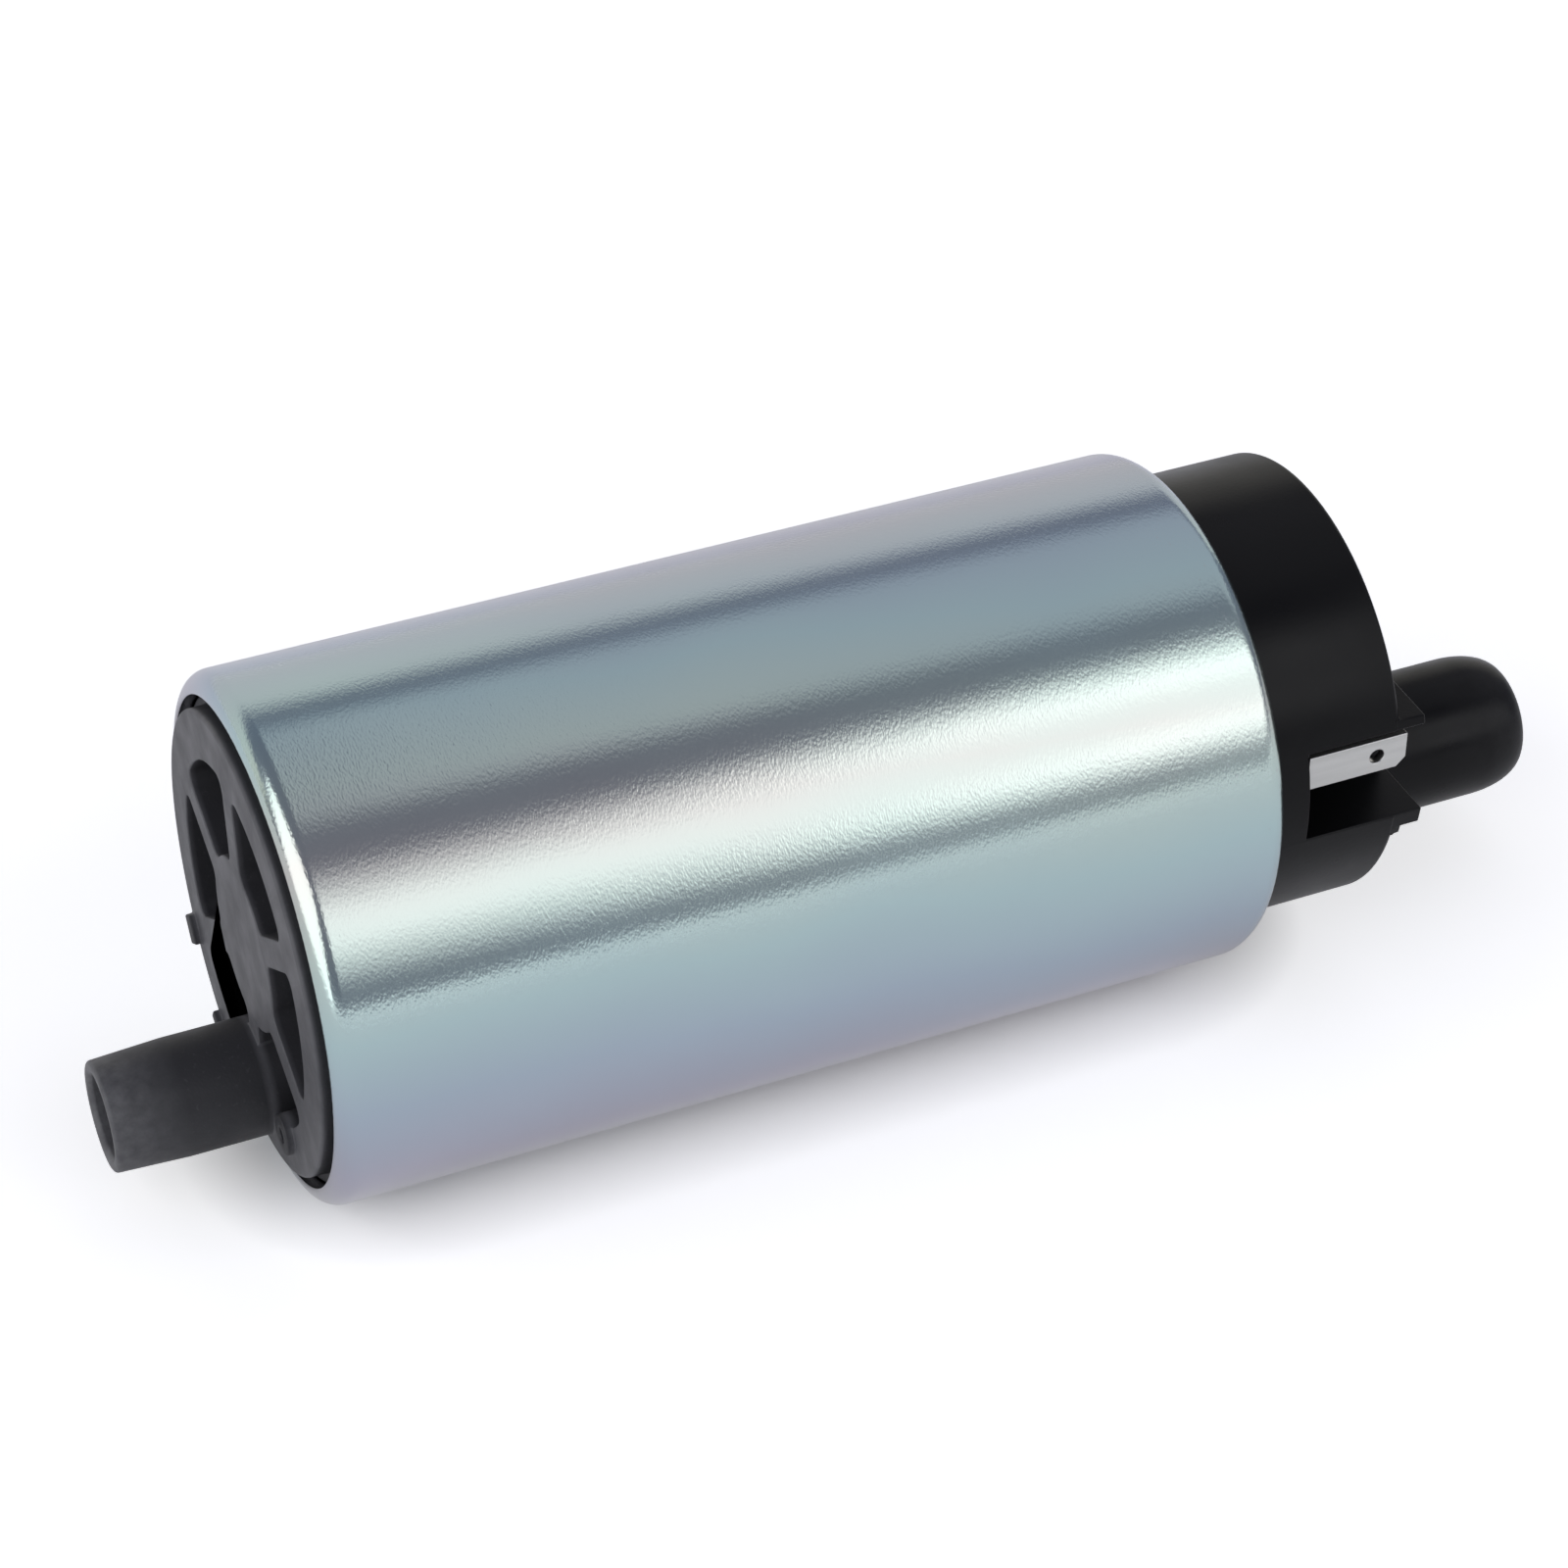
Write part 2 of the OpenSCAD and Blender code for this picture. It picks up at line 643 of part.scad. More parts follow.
// Outline of one armature slot, narrowed by an inset
function slot_outline(inset) =
    [[slot_root_r + inset, -slot_half(slot_root_r, inset)], [slot_top_r - inset, -slot_half(slot_top_r, inset)],
     [slot_top_r - inset, slot_half(slot_top_r, inset)], [slot_root_r + inset, slot_half(slot_root_r, inset)]];

// Stack of armature laminations
module armature_core() color("#7d7f82") lay() at(core_in) linear_extrude(core_len) difference() {
    circle(r = core_r);
    circle(r = shaft_r + fit_gap);
    for (k = [0:slot_count - 1]) rotate(k * slot_pitch) {
        polygon(slot_outline(0));
        translate([slot_top_r - eps, -slot_mouth / 2]) square([core_r, slot_mouth]);
    }
}

// Copper windings: a bar of wire in each slot and a round head at each end
module armature_windings() color("#a8562a") lay() union() {
    at(core_in - insulation - eps) linear_extrude(core_len + 2 * (insulation + eps))
        for (k = [0:slot_count - 1]) rotate(k * slot_pitch) polygon(slot_outline(insulation));
    winding_head(core_in - head_len, core_in - insulation, 1);
    winding_head(core_out + insulation, core_out + head_len, -1);
}

// One winding head, drawn in away from the core
module winding_head(from, to, way) difference() {
    taper(slot_top_r - (way > 0 ? head_draw : 0), slot_top_r - (way > 0 ? 0 : head_draw), from, to);
    bar(shaft_r + 1.2, from - cut, to + cut);
}

// Moulded base of the commutator
module commutator_hub() color("#2c2a28") lay() difference() {
    union() {
        bar(comm_r - comm_step, comm_in, comm_bar_in);
        bar(comm_collar_r, comm_in, comm_face - comm_step);
    }
    bar(shaft_r + fit_gap, comm_in - cut, comm_face + cut);
}

// Commutator bars, one for each armature slot
module commutator_bars() color("#b87333") lay() at(comm_bar_in + fit_gap)
    linear_extrude(comm_bar_t - fit_gap) difference() {
        circle(r = comm_r);
        circle(r = comm_collar_r + fit_gap);
        for (k = [0:slot_count - 1]) rotate((k + 0.5) * slot_pitch)
            translate([0, -comm_slot / 2]) square([comm_r + cut, comm_slot]);
    }

// Moulded holder for both brushes and the upper bush
module brush_holder() color("#d8d2c4") lay() difference() {
    union() {
        bar(skirt_in_r - fit_gap, holder_in, holder_out);
        bar(holder_boss_r, holder_in, upper_bush_in + bush_len);
        for (side = [front, rear]) brush_box(side, guide_wall + slide_gap, guide_in, guide_out);
    }
    for (side = [front, rear]) {
        brush_box(side, slide_gap, guide_in - cut, guide_out + cut);
        translate([side * (brush_off + brush_w / 2) - 2 * guide_wall, -lead_slot_w / 2, lead_slot_in])
            cube([4 * guide_wall, lead_slot_w, guide_out]);
    }
    bar(bush_d / 2 + fit_gap, upper_bush_in, upper_bush_in + bush_len + cut);
    bar(shaft_pass_r, holder_in - cut, upper_bush_in + cut);
    for (a = window_angles) rotate(a) translate([window_off, 0])
        bar(window_r, holder_in - cut, holder_out + cut);
}

// Space of a brush, grown on all four sides
module brush_box(side, grow, from, to)
    translate([side * brush_off - brush_w / 2 - grow, -brush_b / 2 - grow, from])
        cube([brush_w + 2 * grow, brush_b + 2 * grow, to - from]);

// Carbon brush
module brush(side) color("#38383a") lay() brush_box(side, 0, brush_in, brush_out);

module brush_front() brush(front);
module brush_rear() brush(rear);

// Coil spring behind a brush
module brush_spring(side) color("#b5b8ba") lay() translate([side * brush_off, 0])
    wire(coil(brush_coil_r, brush_out + spring_seat, post_in - spring_seat, brush_turns, 10), spring_r);

module brush_spring_front() brush_spring(front);
module brush_spring_rear() brush_spring(rear);

// A point on a smooth curve that is given by its ends and two points it heads for
function curve_point(a, b, c, d, t) =
    a * pow(1 - t, 3) + b * 3 * t * pow(1 - t, 2) + c * 3 * t * t * (1 - t) + d * pow(t, 3);

// Points of a brush's flexible lead, from the brush to the leg of its choke
function lead_path(side) = let (a = [brush_off + brush_w / 2 + fit_gap, 0, lead_st],
    d = [choke_leg[0] + 0.2, choke_leg[1] - 0.55, lead_st + 0.7],
    b = a + [3.2, 0, 0.2], c = d + [0.9, -2.2, 0])
    [for (i = [0:8]) let (p = curve_point(a, b, c, d, i / 8)) [side * p[0], p[1], p[2]]];

// Flexible copper lead of a brush
module brush_lead(side) color("#b5703a") lay() wire(lead_path(side), lead_r);

module brush_lead_front() brush_lead(front);
module brush_lead_rear() brush_lead(rear);

// Ferrite rod of a choke
module choke_core(side) color("#2a2a2c") lay() translate([side * choke_y, choke_z])
    bar(choke_rod_d / 2, choke_in, choke_in + choke_rod_len);

module choke_core_front() choke_core(front);
module choke_core_rear() choke_core(rear);

// Points of a choke's wire: a leg from the brush lead, the turns and a leg to the terminal
function choke_path(side) = let (turns = choke_turns, n = turns * 10, s0 = choke_in + 0.7,
    s1 = foot_in + tab_t / 2)
    concat([[side * choke_leg[0], choke_leg[1], s0 - 0.05]],
           [for (i = [0:n]) let (a = 225 - 360 * i / 10)
               [side * (choke_y - choke_coil_r * cos(a)), choke_z + choke_coil_r * sin(a),
                s0 + (s1 - s0) * i / n]],
           [[side * (foot_reach - 0.4), tab_rise + tab_w / 2 - 0.3, s1]]);

// Copper wire of a choke
module choke_coil(side) color("#b5622f") lay() wire(choke_path(side), choke_wire_d / 2);

module choke_coil_front() choke_coil(front);
module choke_coil_rear() choke_coil(rear);

// Terminal: the tab in its pocket, its root in the cover's wall and its foot inside
module terminal(side) color("#c3c3c0") lay() difference() {
    terminal_blank(side, 0, foot_reach);
    translate([side * (tab_out - tab_t - cut), tab_rise, socket_st + tab_len - tab_hole_in])
        rotate([0, side * 90, 0]) cylinder(d = tab_hole_d, h = tab_t + 2 * cut);
    translate([side * (tab_out - tab_t / 2), tab_rise - tab_w / 2, socket_st + tab_len])
        rotate([45, 0, 0]) cube([tab_t + 2 * cut, tab_corner, tab_corner], center = true);
}

// Blank of a terminal, grown for the slot that it sits in
module terminal_blank(side, grow, reach) {
    x0 = tab_out - tab_t - grow;
    x1 = tab_out + grow;
    y0 = tab_rise - tab_w / 2 - grow;
    span = tab_w + 2 * grow;
    sided_box(side, x0, x1, y0, span, foot_in - grow, socket_st + tab_len);
    sided_box(side, reach, x1, y0, span, foot_in - grow, foot_in + tab_t + grow);
}

// A box between two distances from the middle plane, on the front or the rear side
module sided_box(side, x0, x1, y0, span, from, to)
    translate([side > 0 ? x0 : -x1, y0, from]) cube([x1 - x0, span, to - from]);

module terminal_front() terminal(front);
module terminal_rear() terminal(rear);

// Moulded outlet cover: skirt, body, terminal pockets, valve chambers and outlet nipple
module outlet_cover() color("#1b1b1d") lay() difference() {
    union() {
        difference() {
            cover_outside();
            bar(skirt_in_r, yoke_out - cut, holder_out);
            bar(room_r, holder_out - eps, room_out);
        }
        intersection() {
            cover_fittings();
            bar(cover_r - cover_chamfer, holder_out, cover_end);
        }
        socket_guards();
        outlet_nipple();
    }
    for (side = [front, rear]) {
        sided_box(side, socket_in, shell_r, socket_low, socket_top - socket_low, socket_st,
                  cover_end + guard_out + cut);
        terminal_blank(side, fit_gap, slot_reach);
    }
    translate([0, -outlet_drop]) {
        bar(check_d / 2, valve_in - cut, check_chamber_out);
        bar(outlet_bore_d / 2, check_chamber_out - eps, outlet_tip + cut);
    }
    translate([0, relief_rise]) {
        bar(relief_hole_d / 2, relief_in - cut, relief_seat + eps);
        bar(relief_d / 2, relief_seat, cover_end + cut);
    }
    seal_groove(cover_seal_st);
}

// Outside of the cover's skirt and body, without its hollow
module cover_outside() {
    bar(seat_r, yoke_out, stack_out - shoulder_cut);
    taper(seat_r, seat_r - shoulder_cut, stack_out - shoulder_cut - eps, stack_out);
    bar(cover_r, stack_out - eps, cover_end - cover_chamfer);
    taper(cover_r, cover_r - cover_chamfer, cover_end - cover_chamfer - eps, cover_end);
}

// Posts, bosses and pocket walls inside the cover's room
module cover_fittings() {
    for (side = [front, rear]) {
        translate([side * brush_off, 0]) {
            bar(post_r, post_in, room_out + eps);
            bar(post_pin_r, post_in - post_pin_len, post_in + eps);
        }
        sided_box(side, socket_in - socket_wall, shell_r, socket_low - socket_wall,
                  socket_top - socket_low + 2 * socket_wall, socket_back, room_out + eps);
    }
    translate([0, -outlet_drop]) bar(valve_boss_r, valve_in, room_out + eps);
    translate([0, relief_rise]) bar(relief_boss_r, relief_in, room_out + eps);
}

// Low guards above and below the mouth of each terminal pocket
module socket_guards() intersection() {
    for (side = [front, rear]) {
        sided_box(side, socket_in, shell_r, socket_top, guard_top_t, cover_end - cut, cover_end + guard_out);
        sided_box(side, socket_in, shell_r, guard_low, guard_low_t, cover_end - cut, cover_end + guard_out);
        sided_box(side, socket_in, shell_r, guard_low - guard_step_t, guard_step_t + eps, cover_end - cut,
                  cover_end + guard_step_out);
        sided_box(side, socket_in - socket_wall, socket_in, guard_low,
                  socket_top + guard_top_t - guard_low, cover_end - cut, cover_end + guard_out);
    }
    bar(cover_r - seat_gap, cover_end - 2 * cut, cover_end + guard_out + cut);
}

// Outlet nipple with its curved lead-in
module outlet_nipple() translate([0, -outlet_drop]) rotate_extrude() polygon(concat(
    [[0, room_out], [outlet_d / 2, room_out]],
    [for (i = [0:12]) [outlet_d / 2 - lead_in + lead_in * cos(i * 7.5),
                       outlet_tip - lead_len + lead_len * sin(i * 7.5)]],
    [[0, outlet_tip]]));

// Seat ring pressed into the check valve's chamber
module check_seat() color("#c9a24a") lay() translate([0, -outlet_drop]) difference() {
    bar(check_d / 2 - fit_gap, valve_in, seat_out);
    bar(check_hole_d / 2, valve_in - cut, seat_out + cut);
}

// Plastic poppet with four guide vanes
module check_poppet() color("#e2ddd0") lay() translate([0, -outlet_drop]) union() {
    bar(check_stem_r, check_seal_in - check_stem_out, poppet_head_in + eps);
    bar(check_head_r, poppet_head_in, poppet_head_in + poppet_head_t);
    intersection() {
        bar(check_d / 2 - slide_gap, poppet_head_in + poppet_head_t - eps, vane_end);
        for (a = [0, 90]) rotate(a) translate([-check_d / 2, -check_vane_t / 2, poppet_head_in])
            cube([check_d, check_vane_t, vane_end - poppet_head_in]);
    }
}

// Rubber washer that closes the check valve
module check_seal() color("#202022") lay() translate([0, -outlet_drop])
    tube(check_head_r, check_stem_r + fit_gap, check_seal_in, poppet_head_in - fit_gap);

// Coil spring of the check valve
module check_spring() color("#b5b8ba") lay() translate([0, -outlet_drop])
    wire(coil(check_d / 2 - 0.5, vane_end + spring_seat, check_chamber_out - spring_seat, check_turns, 12),
         spring_r);

// Steel ball of the relief valve
module relief_ball() color("#d3d5d6") lay() translate([0, relief_rise, ball_st]) sphere(r = ball_r);

// Coil spring of the relief valve
module relief_spring() color("#b5b8ba") lay() translate([0, relief_rise])
    wire(coil(relief_coil_r, relief_spring_in, plug_in - spring_seat, relief_turns, 10), spring_r);

// Drilled plug that holds the relief valve's spring
module relief_plug() color("#c9a24a") lay() translate([0, relief_rise])
    tube(relief_d / 2 - fit_gap, plug_hole_r, plug_in, cover_end - plug_sunk);

shell();
inlet_cover();
thrust_button();
impeller();
pump_casing();
casing_seal();
lower_bush();
flux_ring();
magnet_upper();
magnet_lower();
magnet_clips();
armature_shaft();
armature_core();
armature_windings();
commutator_hub();
commutator_bars();
brush_holder();
upper_bush();
brush_front();
brush_rear();
brush_spring_front();
brush_spring_rear();
brush_lead_front();
brush_lead_rear();
choke_core_front();
choke_core_rear();
choke_coil_front();
choke_coil_rear();
terminal_front();
terminal_rear();
outlet_cover();
cover_seal();
check_seat();
check_poppet();
check_seal();
check_spring();
relief_ball();
relief_spring();
relief_plug();
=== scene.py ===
"""Looks of an in-tank electric fuel pump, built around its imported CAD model.

The pump lies on its side: its axis is X, the inlet end at -X and the outlet end at +X.
Sizes in this file are in millimetres. The pieces are modelled about the Z axis, where a
height is a station along the pump, and are then laid along X in metres. Before that turn,
the front of the pump is at -X and its top is at +Y.
"""

import logging
import math
from collections.abc import Callable
from dataclasses import dataclass
from enum import Enum
from functools import partial

import bmesh
import bpy
from mathutils import Matrix, Vector


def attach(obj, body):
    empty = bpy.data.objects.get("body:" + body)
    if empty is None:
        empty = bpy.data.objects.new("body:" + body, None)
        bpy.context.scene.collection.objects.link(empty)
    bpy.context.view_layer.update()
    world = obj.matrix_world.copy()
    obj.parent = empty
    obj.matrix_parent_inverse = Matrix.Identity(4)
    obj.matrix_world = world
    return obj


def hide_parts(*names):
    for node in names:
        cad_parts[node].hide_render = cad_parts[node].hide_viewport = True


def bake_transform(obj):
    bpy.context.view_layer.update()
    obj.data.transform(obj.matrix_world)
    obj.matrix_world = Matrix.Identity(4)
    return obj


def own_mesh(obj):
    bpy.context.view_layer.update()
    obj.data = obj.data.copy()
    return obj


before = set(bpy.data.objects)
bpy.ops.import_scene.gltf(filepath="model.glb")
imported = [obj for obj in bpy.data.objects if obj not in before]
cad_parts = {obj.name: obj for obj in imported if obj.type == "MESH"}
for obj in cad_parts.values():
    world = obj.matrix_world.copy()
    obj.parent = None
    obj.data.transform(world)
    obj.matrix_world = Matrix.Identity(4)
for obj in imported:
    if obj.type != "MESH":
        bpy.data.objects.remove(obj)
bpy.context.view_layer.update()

MM = 0.001
LAY = Matrix(((0, 0, MM, 0), (MM, 0, 0, 0), (0, MM, 0, 0), (0, 0, 0, 1)))
LOG = logging.getLogger("fuel_pump")
Point = tuple[float, float]
Place = tuple[float, float, float]
Socket = bpy.types.NodeSocket
Sockets = tuple[Socket, Socket, Socket]
Adder = Callable[..., Socket]


class Side(Enum):
    """The side of the pump that a paired piece is on."""

    FRONT = -1
    REAR = 1

    @property
    def word(self) -> str:
        """The side's word in the names of the CAD nodes."""
        return self.name.lower()


class Joint(Enum):
    """The ways in which two pieces are put together or cut."""

    ADD = "UNION"
    CUT = "DIFFERENCE"
    KEEP = "INTERSECT"


# ---------------------------------------------------------------- the bench


def arc(centre: Point, radius: float, start: float, end: float, count: int) -> list[Point]:
    """Points on an arc of a profile.

    Args:
        centre: radius and height of the arc's centre.
        radius: the arc's own radius.
        start: angle of its first point, in degrees.
        end: angle of its last point, in degrees.
        count: how many steps it has.

    Returns:
        The points, both ends among them.
    """
    turns = [math.radians(start + (end - start) * i / count) for i in range(count + 1)]
    return [(centre[0] + radius * math.cos(t), centre[1] + radius * math.sin(t)) for t in turns]


class Workpiece:
    """A mesh on the bench, in millimetres about the Z axis."""

    def __init__(self, name: str) -> None:
        """Take the object that was just added, with its place in its mesh.

        Args:
            name: the piece's name.
        """
        self.obj = bpy.context.object
        self.obj.name = name
        bpy.ops.object.transform_apply(location=True, rotation=True, scale=True)

    @staticmethod
    def clear() -> None:
        """Leave edit mode and deselect everything."""
        if bpy.context.object and bpy.context.object.mode != "OBJECT":
            bpy.ops.object.mode_set(mode="OBJECT")
        bpy.ops.object.select_all(action="DESELECT")

    def take(self, edit: bool = False) -> None:
        """Select this piece alone.

        Args:
            edit: whether to go into edit mode, with nothing selected there.
        """
        self.clear()
        self.obj.select_set(True)
        bpy.context.view_layer.objects.active = self.obj
        if edit:
            bpy.ops.object.mode_set(mode="EDIT")
            bpy.context.tool_settings.mesh_select_mode = (True, False, False)
            bpy.ops.mesh.select_all(action="DESELECT")

    def weld(self) -> None:
        """Merge the doubles of the mesh that is being edited."""
        bpy.ops.mesh.select_all(action="SELECT")
        bpy.ops.mesh.remove_doubles(threshold=2e-4)

    def outward(self) -> "Workpiece":
        """Turn the faces of the mesh that is being edited outwards, and put it down.

        Returns:
            This piece.
        """
        bpy.ops.mesh.select_all(action="SELECT")
        bpy.ops.mesh.normals_make_consistent(inside=False)
        self.clear()
        return self

    @classmethod
    def line(cls, name: str, corners: list[Place]) -> "Workpiece":
        """Draw a line from corner to corner, and leave it selected in edit mode.

        Args:
            name: the piece's name.
            corners: the corners in order; one that is given twice is merged.

        Returns:
            The line.
        """
        cls.clear()
        bpy.ops.mesh.primitive_plane_add(size=0.1, location=corners[0])
        piece = cls(name)
        piece.take(edit=True)
        bpy.ops.mesh.select_all(action="SELECT")
        bpy.ops.mesh.merge(type="CENTER")
        for here, there in zip(corners, corners[1:]):
            step = [b - a for a, b in zip(here, there)]
            bpy.ops.mesh.extrude_vertices_move(TRANSFORM_OT_translate={"value": step})
        piece.weld()
        bpy.ops.mesh.select_all(action="SELECT")
        return piece

    @classmethod
    def turned(
        cls, name: str, profile: list[Point], steps: int = 144, start: float = 0, sweep: float = 360
    ) -> "Workpiece":
        """Spin a profile about the Z axis.

        Args:
            name: the piece's name.
            profile: radius and height of its corners, ending on the axis or where it began.
            steps: how many faces go round.
            start: angle at which the spin starts, in degrees.
            sweep: how far it spins, in degrees.

        Returns:
            The closed piece.
        """
        turn = math.radians(start)
        piece = cls.line(name, [(r * math.cos(turn), r * math.sin(turn), z) for r, z in profile])
        bpy.ops.mesh.spin(steps=steps, angle=math.radians(sweep), center=(0, 0, 0), axis=(0, 0, 1))
        piece.weld()
        if sweep < 360:
            bpy.ops.mesh.fill_holes(sides=0)
        return piece.outward()

    @classmethod
    def plate(cls, name: str, outline: list[Point], start: float, end: float) -> "Workpiece":
        """Raise a closed outline from one station to another.

        Args:
            name: the piece's name.
            outline: its corners in order.
            start: its lower station.
            end: its upper station.

        Returns:
            The closed piece.
        """
        piece = cls.line(name, [(x, y, start) for x, y in [*outline, outline[0]]])
        bpy.ops.mesh.edge_face_add()
        bpy.ops.mesh.extrude_region_move(TRANSFORM_OT_translate={"value": (0, 0, end - start)})
        return piece.outward()

    @classmethod
    def rod(
        cls, name: str, radius: float, start: float, end: float, at: Point = (0, 0), sides: int = 64
    ) -> "Workpiece":
        """A round bar between two stations.

        Args:
            name: the piece's name.
            radius: its radius.
            start: its lower station.
            end: its upper station.
            at: where its axis passes.
            sides: how many faces go round.

        Returns:
            The bar.
        """
        cls.clear()
        middle = (*at, (start + end) / 2)
        bpy.ops.mesh.primitive_cylinder_add(vertices=sides, radius=radius, depth=end - start, location=middle)
        return cls(name)

    @classmethod
    def block(cls, name: str, low: Place, high: Place, turn: float = 0) -> "Workpiece":
        """A rectangular block between two corners.

        Args:
            name: the piece's name.
            low: its lowest corner.
            high: its highest corner.
            turn: angle in degrees by which it is then turned about the Z axis.

        Returns:
            The block.
        """
        cls.clear()
        middle = Vector([(a + b) / 2 for a, b in zip(low, high)])
        bpy.ops.mesh.primitive_cube_add(
            size=1,
            location=Matrix.Rotation(math.radians(turn), 3, "Z") @ middle,
            rotation=(0, 0, math.radians(turn)),
            scale=[b - a for a, b in zip(low, high)],
        )
        return cls(name)

    @classmethod
    def coil(
        cls, name: str, radius: float, wire: float, start: float, end: float, turns: int
    ) -> "Workpiece":
        """A coil spring with its end turns laid nearly flat.

        Args:
            name: the piece's name.
            radius: radius of the wire's middle line.
            wire: radius of the wire.
            start: station of the wire's middle at the first turn.
            end: station of the wire's middle at the last turn.
            turns: how many turns it has.

        Returns:
            The spring.
        """
        sides, steps = 12, 32
        cls.clear()
        bpy.ops.mesh.primitive_circle_add(
            vertices=sides, radius=wire, location=(radius, 0, 0), rotation=(math.pi / 2, 0, 0)
        )
        piece = cls(name)
        screw = piece.obj.modifiers.new("turns", "SCREW")
        screw.steps = screw.render_steps = steps
        screw.iterations = turns
        screw.screw_offset = 0
        piece.apply(screw)
        # Each end turn takes this share of a turn for this share of the rise
        flat, rise = 0.75, 0.12
        for number, vertex in enumerate(piece.obj.data.vertices):
            turn = (number // sides) / steps
            if turn < flat:
                share = rise * turn / flat
            elif turn > turns - flat:
                share = 1 - rise * (turns - turn) / flat
            else:
                share = rise + (1 - 2 * rise) * (turn - flat) / (turns - 2 * flat)
            vertex.co.z += start + (end - start) * share
        piece.take(edit=True)
        bpy.ops.mesh.select_all(action="SELECT")
        bpy.ops.mesh.fill_holes(sides=0)
        return piece.outward()

    @classmethod
    def wires(cls, name: str, paths: list[list[Place]], radius: float, sides: int) -> "Workpiece":
        """Round wires along their paths, as one piece.

        Args:
            name: the piece's name.
            paths: the points that each wire follows.
            radius: radius of the wire.
            sides: half the number of faces round the wire, less two.

        Returns:
            The wires.
        """
        cls.clear()
        curve = bpy.data.curves.new(name, "CURVE")
        curve.dimensions = "3D"
        curve.bevel_depth = radius
        curve.bevel_resolution = sides
        curve.use_fill_caps = True
        for path in paths:
            line = curve.splines.new("POLY")
            line.points.add(len(path) - 1)
            for point, place in zip(line.points, path):
                point.co = (*place, 1)
        obj = bpy.data.objects.new(name, curve)
        bpy.context.scene.collection.objects.link(obj)
        obj.select_set(True)
        bpy.context.view_layer.objects.active = obj
        bpy.ops.object.convert(target="MESH")
        piece = cls(name)
        piece.take(edit=True)
        piece.weld()
        return piece.outward()

    def apply(self, modifier: bpy.types.Modifier) -> None:
        """Apply one of this piece's modifiers."""
        self.take()
        bpy.ops.object.modifier_apply(modifier=modifier.name)

    def pick(self, kind: str, test: Callable[[Vector, Vector], bool]) -> None:
        """Select edges or faces in edit mode.

        Args:
            kind: "EDGE" or "FACE".
            test: says yes or no to a middle and a direction (an edge's own, or a face's normal).
        """
        self.take(edit=True)
        bpy.context.tool_settings.mesh_select_mode = (False, kind == "EDGE", kind == "FACE")
        mesh = bmesh.from_edit_mesh(self.obj.data)
        if kind == "FACE":
            for face in mesh.faces:
                face.select_set(test(face.calc_center_median(), face.normal))
        else:
            for edge in mesh.edges:
                first, last = edge.verts[0].co, edge.verts[1].co
                edge.select_set(test((first + last) / 2, (last - first).normalized()))
        bmesh.update_edit_mesh(self.obj.data)

    def bevel(self, width: float, segments: int) -> None:
        """Bevel the edges that are selected.

        Args:
            width: how far the bevel reaches from the edge.
            segments: how many faces it has.
        """
        bpy.ops.mesh.bevel(offset=width, segments=segments, affect="EDGES", clamp_overlap=True)
        self.clear()

    def join(self, how: Joint, *tools: "Workpiece") -> "Workpiece":
        """Add, cut or keep what other pieces cover, and use them up.

        Args:
            how: the way they are joined.
            tools: the other pieces.

        Returns:
            This piece.
        """
        for tool in tools:
            modifier = self.obj.modifiers.new("joint", "BOOLEAN")
            modifier.operation = how.value
            modifier.solver = "EXACT"
            modifier.object = tool.obj
            self.apply(modifier)
            bpy.data.objects.remove(tool.obj)
        return self

    def put(self, by: Place = (0, 0, 0), turn: float = 0, mirror: bool = False) -> "Workpiece":
        """Turn the piece about the Z axis and move it, or mirror it to the other side.

        Args:
            by: how far it moves.
            turn: how far it turns, in degrees.
            mirror: whether it is mirrored at the middle plane.

        Returns:
            This piece.
        """
        self.take()
        self.obj.rotation_euler.z = math.radians(turn)
        self.obj.location = by
        self.obj.scale.x = -1 if mirror else 1
        bpy.ops.object.transform_apply(location=True, rotation=True, scale=True)
        if mirror:
            self.take(edit=True)
            self.outward()
        return self

    def copy(self, name: str, **where: Place | float | bool) -> "Workpiece":
        """A copy with its own mesh.

        Args:
            name: the copy's name.
            where: how far it is moved or turned, or whether it is mirrored, as for `put`.

        Returns:
            The copy.
        """
        self.take()
        bpy.ops.object.duplicate(linked=False)
        return Workpiece(name).put(**where)

    def merged(self, *others: "Workpiece") -> "Workpiece":
        """This piece and others that don't touch it, as one mesh.

        Args:
            others: the other pieces.

        Returns:
            This piece.
        """
        self.take()
        for other in others:
            other.obj.select_set(True)
        bpy.ops.object.join()
        return self

    def ease(self, width: float) -> "Workpiece":
        """Round all its sharp edges a little.

        Args:
            width: how far the rounding reaches from an edge.

        Returns:
            This piece.
        """
        flat_angle, sharp_angle = 0.4, 32
        self.take(edit=True)
        self.weld()
        bpy.ops.mesh.select_all(action="SELECT")
        bpy.ops.mesh.dissolve_limited(angle_limit=math.radians(flat_angle))
        self.clear()
        modifier = self.obj.modifiers.new("eased", "BEVEL")
        modifier.width = width
        modifier.segments = 3
        modifier.limit_method = "ANGLE"
        modifier.angle_limit = math.radians(sharp_angle)
        modifier.use_clamp_overlap = False
        self.apply(modifier)
        # Faces of many corners are split here, while the sizes are still in millimetres
        modifier = self.obj.modifiers.new("split", "TRIANGULATE")
        modifier.min_vertices = 5
        modifier.ngon_method = "BEAUTY"
        self.apply(modifier)
        return self

